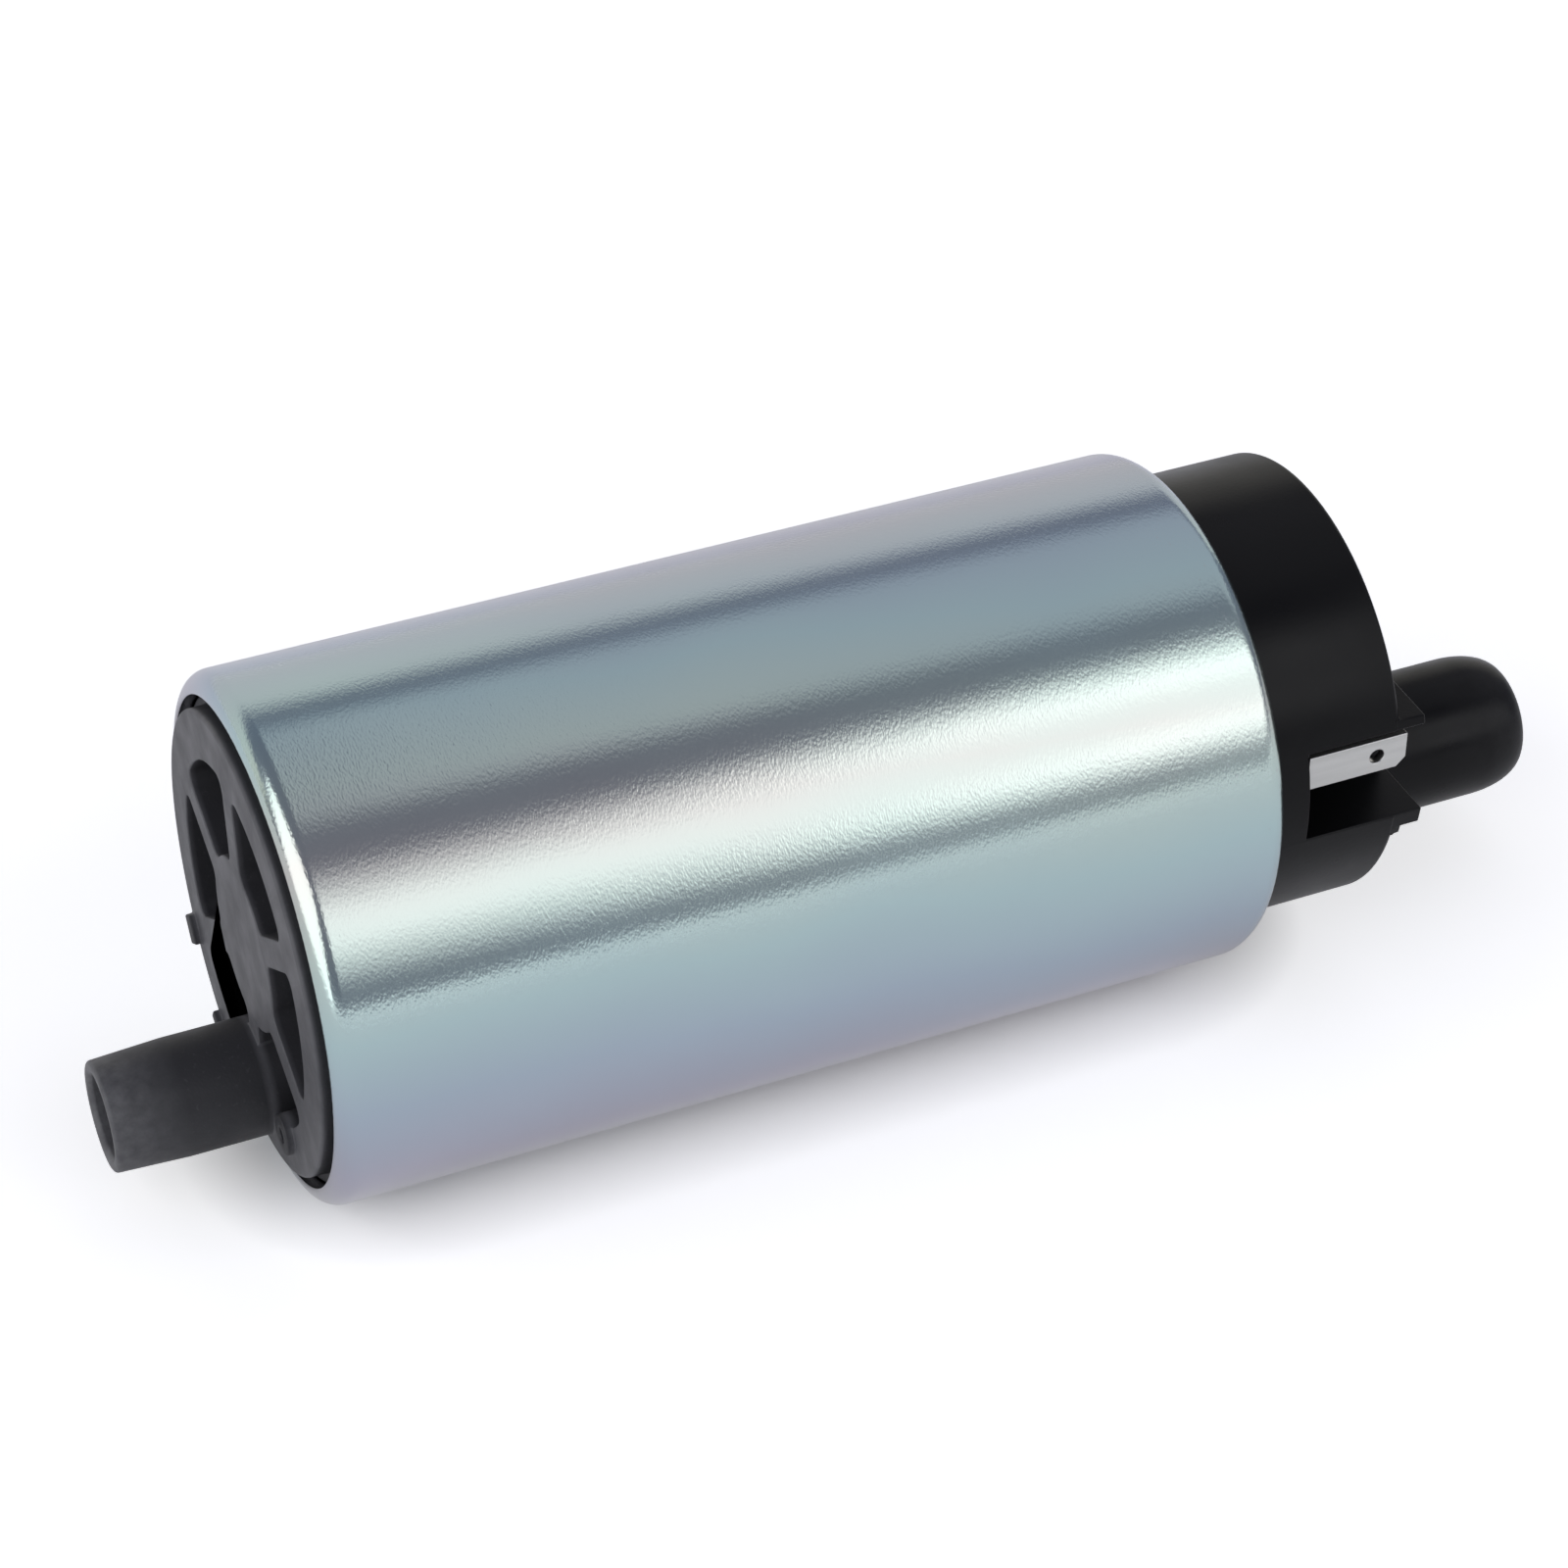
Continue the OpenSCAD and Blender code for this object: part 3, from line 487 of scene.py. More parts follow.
    def finish(
        self, node: str, slot: str, finish: "Finish", body: str | None = "pump", flat: bool = True
    ) -> bpy.types.Object:
        """Lay the piece along the pump, smooth it, dress it and put it in the CAD node's place.

        Args:
            node: the CAD node that it stands for.
            slot: the record's material slot; not used.
            finish: its finish.
            body: the body that it rides on, or None where it bends between two bodies.
            flat: whether flat faces keep a flat shade next to rounded edges.

        Returns:
            The piece's object.
        """
        sharp_angle = 40
        self.take()
        self.obj.data.transform(LAY)
        self.obj.data.update()
        bpy.ops.object.shade_smooth_by_angle(angle=math.radians(sharp_angle))
        if flat:
            modifier = self.obj.modifiers.new("flat_faces", "WEIGHTED_NORMAL")
            modifier.keep_sharp = True
            self.apply(modifier)
        self.obj.data.materials.clear()
        self.obj.data.materials.append(finish.material())
        if body:
            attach(self.obj, body)
        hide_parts(node)
        LOG.info("%s stands for %s, %d faces", self.obj.name, node, len(self.obj.data.polygons))
        return self.obj


# ---------------------------------------------------------------- shader helpers


def rgb(hex_code: str) -> tuple[float, float, float, float]:
    """Turn an sRGB hex value into the linear colour that sockets take.

    Args:
        hex_code: six hex digits.

    Returns:
        Linear red, green, blue and an alpha of 1.
    """
    values = [int(hex_code[i : i + 2], 16) / 255 for i in (0, 2, 4)]
    linear = [v / 12.92 if v <= 0.04045 else ((v + 0.055) / 1.055) ** 2.4 for v in values]
    return (*linear, 1.0)


def add_node(
    tree: bpy.types.NodeTree, kind: str, values: dict | None = None, out: int | str = 0
) -> Socket | None:
    """Add one node with its settings and what feeds it.

    Args:
        tree: the node tree.
        kind: the node's type name, without the "ShaderNode" before it.
        values: attributes, "stops" of a colour ramp, and for an input its value or the socket that feeds it.
        out: the output that is wanted.

    Returns:
        That output, or None from a node that has none.
    """
    node = tree.nodes.new("ShaderNode" + kind)
    for key, value in (values or {}).items():
        if isinstance(value, Socket):
            tree.links.new(value, node.inputs[key])
        elif key == "stops":
            elements = node.color_ramp.elements
            while len(elements) < len(value):
                elements.new(0.5)
            for element, (position, code) in zip(elements, value):
                element.position = position
                element.color = rgb(code)
        elif isinstance(key, str) and hasattr(node, key):
            setattr(node, key, value)
        else:
            node.inputs[key].default_value = value
    return node.outputs[out] if node.outputs else None


def node_adder(owner: bpy.types.Material | bpy.types.World) -> Adder:
    """Empty the node tree of a material or of the world.

    Args:
        owner: the material or world.

    Returns:
        The function that adds a node to its tree.
    """
    owner.use_nodes = True
    owner.node_tree.nodes.clear()
    return partial(add_node, owner.node_tree)


# ---------------------------------------------------------------- finishes


@dataclass(frozen=True)
class Finish:
    """A surface with a broad drift between two colours, a grain and an uneven gloss."""

    name: str
    colour: str
    other: str
    smooth: float
    rough: float
    metallic: float = 0.0
    drift: float = 8.0
    grain: float = 0.4
    depth: float = 0.01
    gloss: float = 0.5
    coat: float = 0.0

    def material(self) -> bpy.types.Material:
        """The finish as a material, made once.

        Returns:
            The material.
        """
        found = bpy.data.materials.get(self.name)
        if found:
            return found
        material = bpy.data.materials.new(self.name)
        add = node_adder(material)
        colour, rough, height = self.pattern(add, add("TexCoord", out="Object"))
        bump = add("Bump", {"Strength": 1.0, "Distance": self.depth * MM, "Height": height})
        values = {"Metallic": self.metallic, "Coat Weight": self.coat, "Coat Roughness": 0.15}
        if self.metallic < 0.5:
            values |= {"IOR": 1.5, "Specular IOR Level": self.gloss}
        values |= {"Base Color": colour, "Roughness": rough, "Normal": bump}
        add("OutputMaterial", {"Surface": add("BsdfPrincipled", values)})
        return material

    def pattern(self, add: Adder, place: Socket) -> Sockets:
        """Colour, roughness and height of the surface.

        Args:
            add: adds a node to the material.
            place: object coordinates.

        Returns:
            The three sockets.
        """
        drift = add("TexNoise", {0: place, "Scale": 1000 / self.drift, "Detail": 3})
        grain = add("TexNoise", {0: place, "Scale": 1000 / self.grain, "Detail": 2})
        colour = add("ValToRGB", {0: drift, "stops": ((0.35, self.colour), (0.65, self.other))})
        return colour, self.unevenness(add, drift), grain

    def unevenness(self, add: Adder, cloud: Socket) -> Socket:
        """Roughness that follows a clouding.

        Args:
            add: adds a node to the material.
            cloud: the clouding.

        Returns:
            The roughness.
        """
        ends = {"To Min": self.smooth, "To Max": self.rough}
        return add("MapRange", {0: cloud, "From Min": 0.3, "From Max": 0.7, **ends})


@dataclass(frozen=True)
class ZincPlate(Finish):
    """Bright zinc plate with a clear blue passivation on drawn steel tube.

    The plate follows the tube's fine orange peel, which breaks up the edges of what it mirrors.
    The passivation shows interference colours, painted in bands along the tube as a painted sheen: the palest
    colour where the front highlight falls, the other one on the far side, and green, blue, lavender and a
    warm grey between them, each at its angle from the highlight. Away from the highlight the bands turn
    darker and more lavender, towards the underside as painted shade that stands in for the shadowed floor it
    mirrors.
    """

    metallic: float = 1.0
    # Angle round the tube where the front highlight falls, at which the painted bands centre
    stripe: float = 137.0
    spread: float = 1.25
    far_side: float = 190.0
    bands: tuple[tuple[float, str], ...] = (
        (20, "cadad2"),
        (40, "bdd5d6"),
        (65, "b6c4d0"),
        (95, "b9b8c6"),
        (130, "b6b4b8"),
    )
    scratch: str = "c4c8ca"

    def pattern(self, add: Adder, place: Socket) -> Sockets:
        """Painted sheen and shade in bands of colour round the tube, scuffs by the outlet end and the orange
        peel.

        Args:
            add: adds a node to the material.
            place: object coordinates.

        Returns:
            The three sockets.
        """
        along = add("SeparateXYZ", {0: place})
        turn = {"rotation_type": "X_AXIS", "Angle": -math.radians(self.stripe)}
        around = add("SeparateXYZ", {0: add("VectorRotate", {"Vector": place, **turn})}).node.outputs
        angle = add("Math", {"operation": "ARCTAN2", 0: around[2], 1: around[1]})
        # The painted bands follow the highlight, which drifts by 0.25 degrees for each millimetre along the
        # tube
        wander = add("Math", {"operation": "MULTIPLY_ADD", 0: along, 1: -math.radians(250), 2: angle})
        away = add("Math", {"operation": "ABSOLUTE", 0: wander})
        # Broad unevenness of the bands, 25 mm across and up to 16 degrees either way
        cloud = add("TexNoise", {0: place, "Scale": 40.0, "Detail": 2, "Roughness": 0.4})
        uneven = add("Math", {"operation": "MULTIPLY_ADD", 0: cloud, 1: 0.55, 2: -0.275})
        from_highlight = add("Math", {"operation": "MULTIPLY_ADD", 0: away, 1: self.spread, 2: uneven})
        reach = 200
        # Painted sheen and shade: palest at the highlight, darker and bluer to lavender away from it
        stops = ((0, self.colour), *self.bands, (self.far_side, self.other))
        share = add("Math", {"operation": "DIVIDE", 0: from_highlight, 1: math.radians(reach)})
        colour = add("ValToRGB", {0: share, "stops": [(at / reach, code) for at, code in stops]})
        # Fine scratches from handling by the outlet end, 0.2 mm wide and three times as long round the tube
        near = add("MapRange", {0: along, "From Min": 27 * MM, "From Max": 34 * MM})
        stretched = add("Mapping", {0: place, "Scale": (1.0, 0.35, 0.35)})
        marks = add("TexNoise", {0: stretched, "Scale": 3000.0, "Detail": 3, "Roughness": 0.7})
        chosen = add("MapRange", {0: marks, "From Min": 0.64, "From Max": 0.72, "To Max": 0.6})
        scuff = add("Math", {"operation": "MULTIPLY", 0: near, 1: chosen})
        worn = add("Mix", {"data_type": "RGBA", 0: scuff, 6: colour, 7: rgb(self.scratch)}, out=2)
        plain_rough = self.unevenness(add, cloud)
        rough = add("Math", {"operation": "MULTIPLY_ADD", 0: scuff, 1: 0.15, 2: plain_rough})
        # Draw marks and peel of the plate, 0.3 mm long round the tube and half as wide; slow waves of 6 mm
        fine = add("Mapping", {0: place, "Scale": (2.0, 1.0, 1.0)})
        peel = add("TexNoise", {0: fine, "Scale": 1000 / self.grain, "Detail": 1})
        waves = add("TexNoise", {0: place, "Scale": 160.0, "Detail": 1})
        height = add("Math", {"operation": "MULTIPLY_ADD", 0: waves, 1: 0.5, 2: peel})
        return worn, rough, height


@dataclass(frozen=True)
class Moulding(Finish):
    """Injection moulded acetal with the fine matt texture of a spark-eroded tool.

    It shows faint flow clouds, specks of dust, and a paler rubbed band where a hose has been; it can also be
    darkened off its flat face as painted shade.
    """

    rubbed: str = "303032"
    rub_start: float = 56.0
    rub_end: float = 66.0
    dust: float = 0.06
    # Colour of the painted shade off the flat face, or None for no shade
    deep: str | None = None
    face: float = -35.75

    def pattern(self, add: Adder, place: Socket) -> Sockets:
        """Flow clouds, dust, the rubbed band, painted shade off the flat face where it is asked for, and the
        tool's texture.

        Args:
            add: adds a node to the material.
            place: object coordinates.

        Returns:
            The three sockets.
        """
        plain, rough, grain = super().pattern(add, place)
        along = add("SeparateXYZ", {0: place})
        ends = {"From Min": self.rub_start * MM, "From Max": self.rub_end * MM}
        band = add("MapRange", {0: along, **ends, "To Max": 0.75})
        # Rubbed flecks about 1 mm across
        flecks = add("TexNoise", {0: place, "Scale": 900.0, "Detail": 4, "Roughness": 0.65})
        rubbed = add("Math", {"operation": "MULTIPLY", 0: band, 1: flecks})
        # Dust specks of 0.15 mm, drawn at 0.3 mm so that they show
        specks = add("TexNoise", {0: place, "Scale": 3300.0, "Detail": 1})
        dusty = add("MapRange", {0: specks, "From Min": 0.66, "From Max": 0.76, "To Max": self.dust})
        pale = add("Math", {"operation": "MAXIMUM", 0: rubbed, 1: dusty})
        if self.deep:
            # Painted shade: off the flat face, in the pockets, on the nipple's sides and round the rim, the
            # colour is darkened to stand in for the shade there
            from_face = add("Math", {"operation": "SUBTRACT", 0: along, 1: self.face * MM})
            off = add("Math", {"operation": "ABSOLUTE", 0: from_face})
            behind = add("MapRange", {0: off, "From Min": 0.08 * MM, "From Max": 0.5 * MM})
            plain = add("Mix", {"data_type": "RGBA", 0: behind, 6: plain, 7: rgb(self.deep)}, out=2)
        worn = add("Mix", {"data_type": "RGBA", 0: pale, 6: plain, 7: rgb(self.rubbed)}, out=2)
        return worn, rough, grain


@dataclass(frozen=True)
class Turned(Finish):
    """Metal turned or ground on a lathe: fine rings round the pump's axis."""

    metallic: float = 1.0
    ring: float = 0.12

    def pattern(self, add: Adder, place: Socket) -> Sockets:
        """Rings that follow the station on a bar and the radius on an end face.

        Args:
            add: adds a node to the material.
            place: object coordinates.

        Returns:
            The three sockets.
        """
        colour, rough, _ = super().pattern(add, place)
        axes = add("SeparateXYZ", {0: place}).node.outputs
        flat = add("CombineXYZ", {1: axes[1], 2: axes[2]})
        radius = add("VectorMath", {"operation": "LENGTH", 0: flat}, out="Value")
        spot = add("CombineXYZ", {0: axes[0], 1: radius})
        return colour, rough, add("TexNoise", {0: spot, "Scale": 1000 / self.ring, "Detail": 2})


@dataclass(frozen=True)
class Drawn(Finish):
    """Strip or wire drawn along the pump: fine lines in that direction."""

    metallic: float = 1.0
    stretch: float = 0.06

    def pattern(self, add: Adder, place: Socket) -> Sockets:
        """The plain pattern drawn out along the pump."""
        return super().pattern(add, add("Mapping", {0: place, "Scale": (self.stretch, 1.0, 1.0)}))


@dataclass(frozen=True)
class Laminated(Finish):
    """Electrical steel sheets of 0.5 mm, stacked along the shaft, with dark lines between them."""

    metallic: float = 1.0
    sheet: float = 0.5
    line: float = 0.06
    line_colour: str = "2c2c2e"

    def pattern(self, add: Adder, place: Socket) -> Sockets:
        """The sheets and the lines between them.

        Args:
            add: adds a node to the material.
            place: object coordinates.

        Returns:
            The three sockets.
        """
        plain, rough, _ = super().pattern(add, place)
        along = add("SeparateXYZ", {0: place})
        step = add("Math", {"operation": "PINGPONG", 0: along, 1: self.sheet * MM / 2})
        line = add("MapRange", {0: step, "From Min": 0.0, "From Max": self.line * MM})
        colour = add("Mix", {"data_type": "RGBA", 0: line, 6: rgb(self.line_colour), 7: plain}, out=2)
        return colour, rough, line


@dataclass(frozen=True)
class Powder(Finish):
    """Pressed and sintered powder, or a casting: cells and pores all over."""

    pore: float = 0.25
    pore_colour: str = "202022"
    pores: float = 0.35

    def pattern(self, add: Adder, place: Socket) -> Sockets:
        """Pores drawn about twice as large as they are, so that they show.

        Args:
            add: adds a node to the material.
            place: object coordinates.

        Returns:
            The three sockets.
        """
        plain, rough, _ = super().pattern(add, place)
        cells = add("TexVoronoi", {0: place, "Scale": 1000 / self.pore}, out="Distance")
        ends = {"From Min": 0.12, "From Max": 0.3, "To Min": self.pores, "To Max": 0.0}
        hollow = add("MapRange", {0: cells, **ends})
        colour = add("Mix", {"data_type": "RGBA", 0: hollow, 6: plain, 7: rgb(self.pore_colour)}, out=2)
        return colour, rough, cells


# Electrogalvanised drawn tube: mirrors softly, with a fine grain, its colour bands a painted sheen and shade
# round the highlight
ZINC = ZincPlate("zinc_plated_drawn_tube", "d0d0ca", "b0bcc2", 0.17, 0.21, grain=0.3, depth=0.014)
# Grey acetal from a spark-eroded tool: dull, faintly mottled, paler where the nipple's tip is rubbed, and
# darkened off its flat face as painted shade
GREY_MOULDING = Moulding(
    "grey_moulded_acetal", "58585b", "4c4c4f", 0.48, 0.6, drift=2.5, grain=0.22, depth=0.012,
    rubbed="8a8a8c", rub_start=-41.5, rub_end=-47.2, deep="2c2c2f",
)
# Black acetal from a smoother tool: one very dark colour, satin, with a few smudges and specks
BLACK_MOULDING = Moulding(
    "black_moulded_acetal", "0a0a0b", "0a0a0b", 0.27, 0.38, drift=7.0, grain=0.3, depth=0.006, gloss=0.18,
    dust=0.04,
)
# Brass strip, hot-dip tinned after stamping: a pale, softly clouded grey
TINNED_BRASS = Drawn("tinned_brass_strip", "d4d4d1", "c0c0bd", 0.28, 0.42, drift=1.6, grain=0.2, depth=0.006)
# Patented spring wire: bright with drawing lines
SPRING_STEEL = Finish(
    "drawn_spring_wire", "b9bcbe", "a2a5a8", 0.2, 0.32, metallic=1.0, drift=3.0, grain=0.15, depth=0.004
)
# Plain copper strands, slightly browned
BRAIDED_COPPER = Finish(
    "bare_copper_strand", "c47a48", "9c5a30", 0.28, 0.42, metallic=1.0, drift=1.5, grain=0.1
)
# Winding wire under a clear amber enamel
ENAMELLED_COPPER = Finish(
    "enamelled_copper_wire", "b05a2a", "93431b", 0.22, 0.34, metallic=1.0, drift=4.0, grain=0.3, depth=0.004,
    coat=0.8,
)
FINISHES = {
    "zinc_plated_steel": ZINC,
    "dark_grey_plastic": GREY_MOULDING,
    "black_plastic": BLACK_MOULDING,
    "tinned_brass": TINNED_BRASS,
    "spring_steel": SPRING_STEEL,
    "enamelled_copper": ENAMELLED_COPPER,
    # Hardened and ground: bright, with grinding rings
    "hard_steel": Turned("ground_hard_steel", "d0d2d3", "bfc2c4", 0.14, 0.24, drift=6.0, depth=0.003),
    # Electrical steel sheets, stamped and stacked
    "soft_steel": Laminated("stacked_soft_steel", "8f9496", "7d8183", 0.34, 0.48, depth=0.03),
    # Pressure die cast: a grey skin with flow clouds and small pits
    "cast_aluminium": Powder(
        "die_cast_aluminium", "adafb1", "989b9e", 0.38, 0.52, metallic=1.0, drift=5.0, depth=0.02,
        pore=0.9, pores=0.12,
    ),
    # Wood-flour filled phenolic: brown, machined on both faces
    "phenolic": Powder("phenolic_moulding", "6f4c30", "583a22", 0.42, 0.56, drift=1.2, pore=0.35, pores=0.25),
    # Unpigmented acetal: a warm, slightly waxy white
    "natural_plastic": Finish(
        "natural_moulded_acetal", "d8d2c3", "d8d2c3", 0.36, 0.48, drift=6.0, grain=0.3, depth=0.006
    ),
    # Moulded nitrile rubber with a bloom of talc
    "seal_rubber": Finish(
        "nitrile_rubber_ring", "1c1c1e", "262628", 0.5, 0.66, drift=2.0, grain=0.2, depth=0.008
    ),
    # Oil-soaked sintered bronze with open pores
    "sintered_bronze": Powder(
        "sintered_bronze", "a07c4c", "86653c", 0.36, 0.5, metallic=1.0, drift=2.0,
        pore=0.16, pore_colour="3a2a18",
    ),
    "bare_brass": Turned("turned_brass", "d0aa55", "bd963f", 0.2, 0.32, drift=3.0, depth=0.004),
    "bare_copper": Turned("turned_copper", "c07a42", "a5642c", 0.22, 0.36, drift=3.0, depth=0.004),
    # Pressed hard ferrite, ground on its curved faces
    "ferrite": Powder("pressed_ferrite", "3f4043", "323336", 0.42, 0.58, drift=4.0, pore=0.4, pores=0.3),
    # Pressed carbon and copper powder, with a metallic glint
    "carbon": Powder(
        "carbon_brush_block", "3a3a3c", "2e2e30", 0.4, 0.55, metallic=0.3, drift=0.8,
        pore=0.2, pore_colour="7a5a44",
    ),
}


# ---------------------------------------------------------------- pieces of the pump


@dataclass
class Shell:
    """The zinc plated steel shell, its ends rolled in over both covers."""

    radius: float = 19.0
    wall: float = 1.0
    end: float = 35.2
    bend: float = 1.6
    inlet_lip: float = 17.45
    outlet_lip: float = 16.7

    def build(self) -> None:
        """Spin the sheet's section into the shell."""
        middle = self.radius - self.bend
        low, high = (middle, self.bend - self.end), (middle, self.end - self.bend)
        inner = self.bend - self.wall
        profile = [
            (self.inlet_lip, -self.end + self.wall - 0.05),
            (self.inlet_lip, -self.end + 0.13),
            (self.inlet_lip + 0.03, -self.end + 0.06),
            (self.inlet_lip + 0.09, -self.end + 0.02),
            *arc(low, self.bend, 277, 360, 16),
            *arc(high, self.bend, 0, 90, 16),
            (self.outlet_lip + 0.13, self.end),
            (self.outlet_lip + 0.04, self.end - 0.04),
            (self.outlet_lip, self.end - 0.13),
            (self.outlet_lip, self.end - self.wall + 0.08),
            (self.outlet_lip + 0.08, self.end - self.wall),
            *arc(high, inner, 90, 0, 8),
            *arc(low, inner, 360, 277, 8),
        ]
        sheet = Workpiece.turned("steel_shell", [*profile, profile[0]], 192)
        sheet.finish("shell", "zinc_plated_steel", ZINC, flat=False)


@dataclass
class InletCover:
    """The dark grey cover with its ribbed face, and the inlet nipple in one piece with it."""

    face: float = -35.75
    rim: float = 16.6
    edge: float = 0.3
    ring_inside: float = 13.0
    hub: float = 6.3
    rib: float = 2.2
    ribs: int = 6
    pocket: float = 4.4
    corner: float = 1.0
    rib_turn: float = 3
    shoulder: float = -34.2
    chamfer: float = 0.7
    seat: float = 17.95
    chamber: float = -27.5
    nipple_drop: float = 11.9
    nipple: float = 4.28
    nipple_tip: float = 4.05
    tip: float = -47.05
    straight: float = -41.75
    bore: float = 3.0
    vent: float = 1.5
    vent_hole: float = 0.55
    vent_rise: float = 0.6
    vent_angle: float = 235
    vent_off: float = 13.4
    lugs: tuple[tuple[float, float, float, float], ...] = ((327, 1.4, 2.2, 0.55), (302, 0.9, 1.5, 0.55))
    button: float = 2.52
    button_seat: float = -31.0
    channel_off: float = 13.8
    channel: float = 1.1

    def build(self) -> None:
        """Turn the disc, sink its pockets and add what stands on it."""
        cover = self.disc()
        cover.join(Joint.CUT, self.pockets())
        cover.join(Joint.ADD, self.nipple_body(), self.vent_seat(), *[self.lug(*lug) for lug in self.lugs])
        cover.join(Joint.CUT, *self.bores()).ease(0.14)
        cover.finish("inlet_cover", "dark_grey_plastic", GREY_MOULDING)

    def disc(self) -> Workpiece:
        """The cover's disc with its shoulder and the edge of its face rounded."""
        profile = [
            (0, self.chamber),
            (self.seat, self.chamber),
            (self.seat, self.shoulder + self.chamfer),
            (self.seat - self.chamfer, self.shoulder),
            (self.rim, self.shoulder),
            *arc((self.rim - self.edge, self.face + self.edge), self.edge, 0, -90, 5),
            (0, self.face),
        ]
        return Workpiece.turned("inlet_cover_moulding", profile, 180)

    def pockets(self) -> Workpiece:
        """The cutter of the pockets between the ribs: one sector, and its copies round the hub."""
        floor, pitch = self.face + self.pocket, 360 / self.ribs
        half, aside = pitch / 2, self.rib / 2 + self.corner
        outer, inner = self.ring_inside - self.corner, self.hub + self.corner
        outer_turn = half - math.degrees(math.asin(aside / outer))
        inner_turn = half - math.degrees(math.asin(aside / inner))
        side = [
            *arc((0, 0), self.ring_inside, 0, outer_turn, 10),
            *arc(self.polar(outer, outer_turn), self.corner, outer_turn, half + 90, 8),
            *arc(self.polar(inner, inner_turn), self.corner, half + 90, inner_turn + 180, 6),
            *arc((0, 0), self.hub, inner_turn, 0, 4),
        ]
        other_side = [(x, -y) for x, y in reversed(side)]
        sector = Workpiece.plate("pocket_cutter", side + other_side, self.face - 1, floor)
        sector.pick("EDGE", lambda middle, along: abs(middle.z - floor) < 1e-3)
        sector.bevel(0.25, 3)
        sector.put(turn=-self.rib_turn)
        copies = [sector.copy(f"pocket_cutter_{k}", turn=pitch * k) for k in range(1, self.ribs)]
        return sector.merged(*copies)

    @staticmethod
    def polar(radius: float, turn: float) -> Point:
        """The point at this radius and angle, in degrees."""
        return (radius * math.cos(math.radians(turn)), radius * math.sin(math.radians(turn)))

    def nipple_body(self) -> Workpiece:
        """The inlet nipple, drawn in towards its rounded tip."""
        root = self.face + self.pocket + 0.02
        profile = [
            (0, root),
            (self.nipple + 0.2, root),
            (self.nipple, self.face),
            (self.nipple, self.straight),
            *arc((self.nipple_tip - self.edge, self.tip + self.edge), self.edge, 0, -90, 5),
            (0, self.tip),
        ]
        return Workpiece.turned("inlet_nipple_body", profile, 96).put((0, -self.nipple_drop, 0))

    def vent_seat(self) -> Workpiece:
        """The small raised seat of the vapour vent."""
        top, edge = self.face - self.vent_rise, 0.15
        profile = [
            (0, self.face + 1),
            (self.vent, self.face + 1),
            *arc((self.vent - edge, top + edge), edge, 0, -90, 3),
            (0, top),
        ]
        place = (*self.polar(self.vent_off, self.vent_angle), 0)
        return Workpiece.turned("vent_seat", profile, 48).put(place)

    def lug(self, angle: float, length: float, width: float, height: float) -> Workpiece:
        """One locating lug on the edge of the face.

        Args:
            angle: its place round the face, in degrees.
            length: its size along the radius.
            width: its size round the face.
            height: how far it stands out.

        Returns:
            The lug.
        """
        outer = self.rim - 0.1
        low = (outer - length, -width / 2, self.face - height)
        high = (outer, width / 2, self.face + 0.65)
        return Workpiece.block(f"lug_{angle}", low, high, turn=angle)

    def bores(self) -> list[Workpiece]:
        """Cutters of the inlet bore, the vent, the thrust button's seat and the side channel."""
        inside, mouth = self.chamber + 1, self.bore + 0.32
        nipple = [
            (0, inside),
            (self.bore, inside),
            (self.bore, self.tip + 0.28),
            (mouth, self.tip - 0.02),
            (mouth, self.tip - 1),
            (0, self.tip - 1),
        ]
        vent = self.polar(self.vent_off, self.vent_angle)
        channel = arc((self.channel_off, self.chamber), self.channel, 0, 360, 24)
        return [
            Workpiece.turned("inlet_bore", nipple, 72).put((0, -self.nipple_drop, 0)),
            Workpiece.rod("vent_hole", self.vent_hole, self.face - 2, inside, at=vent, sides=24),
            Workpiece.rod("button_seat", self.button, self.button_seat, inside),
            Workpiece.turned("side_channel", channel, 96, start=-80, sweep=300),
        ]


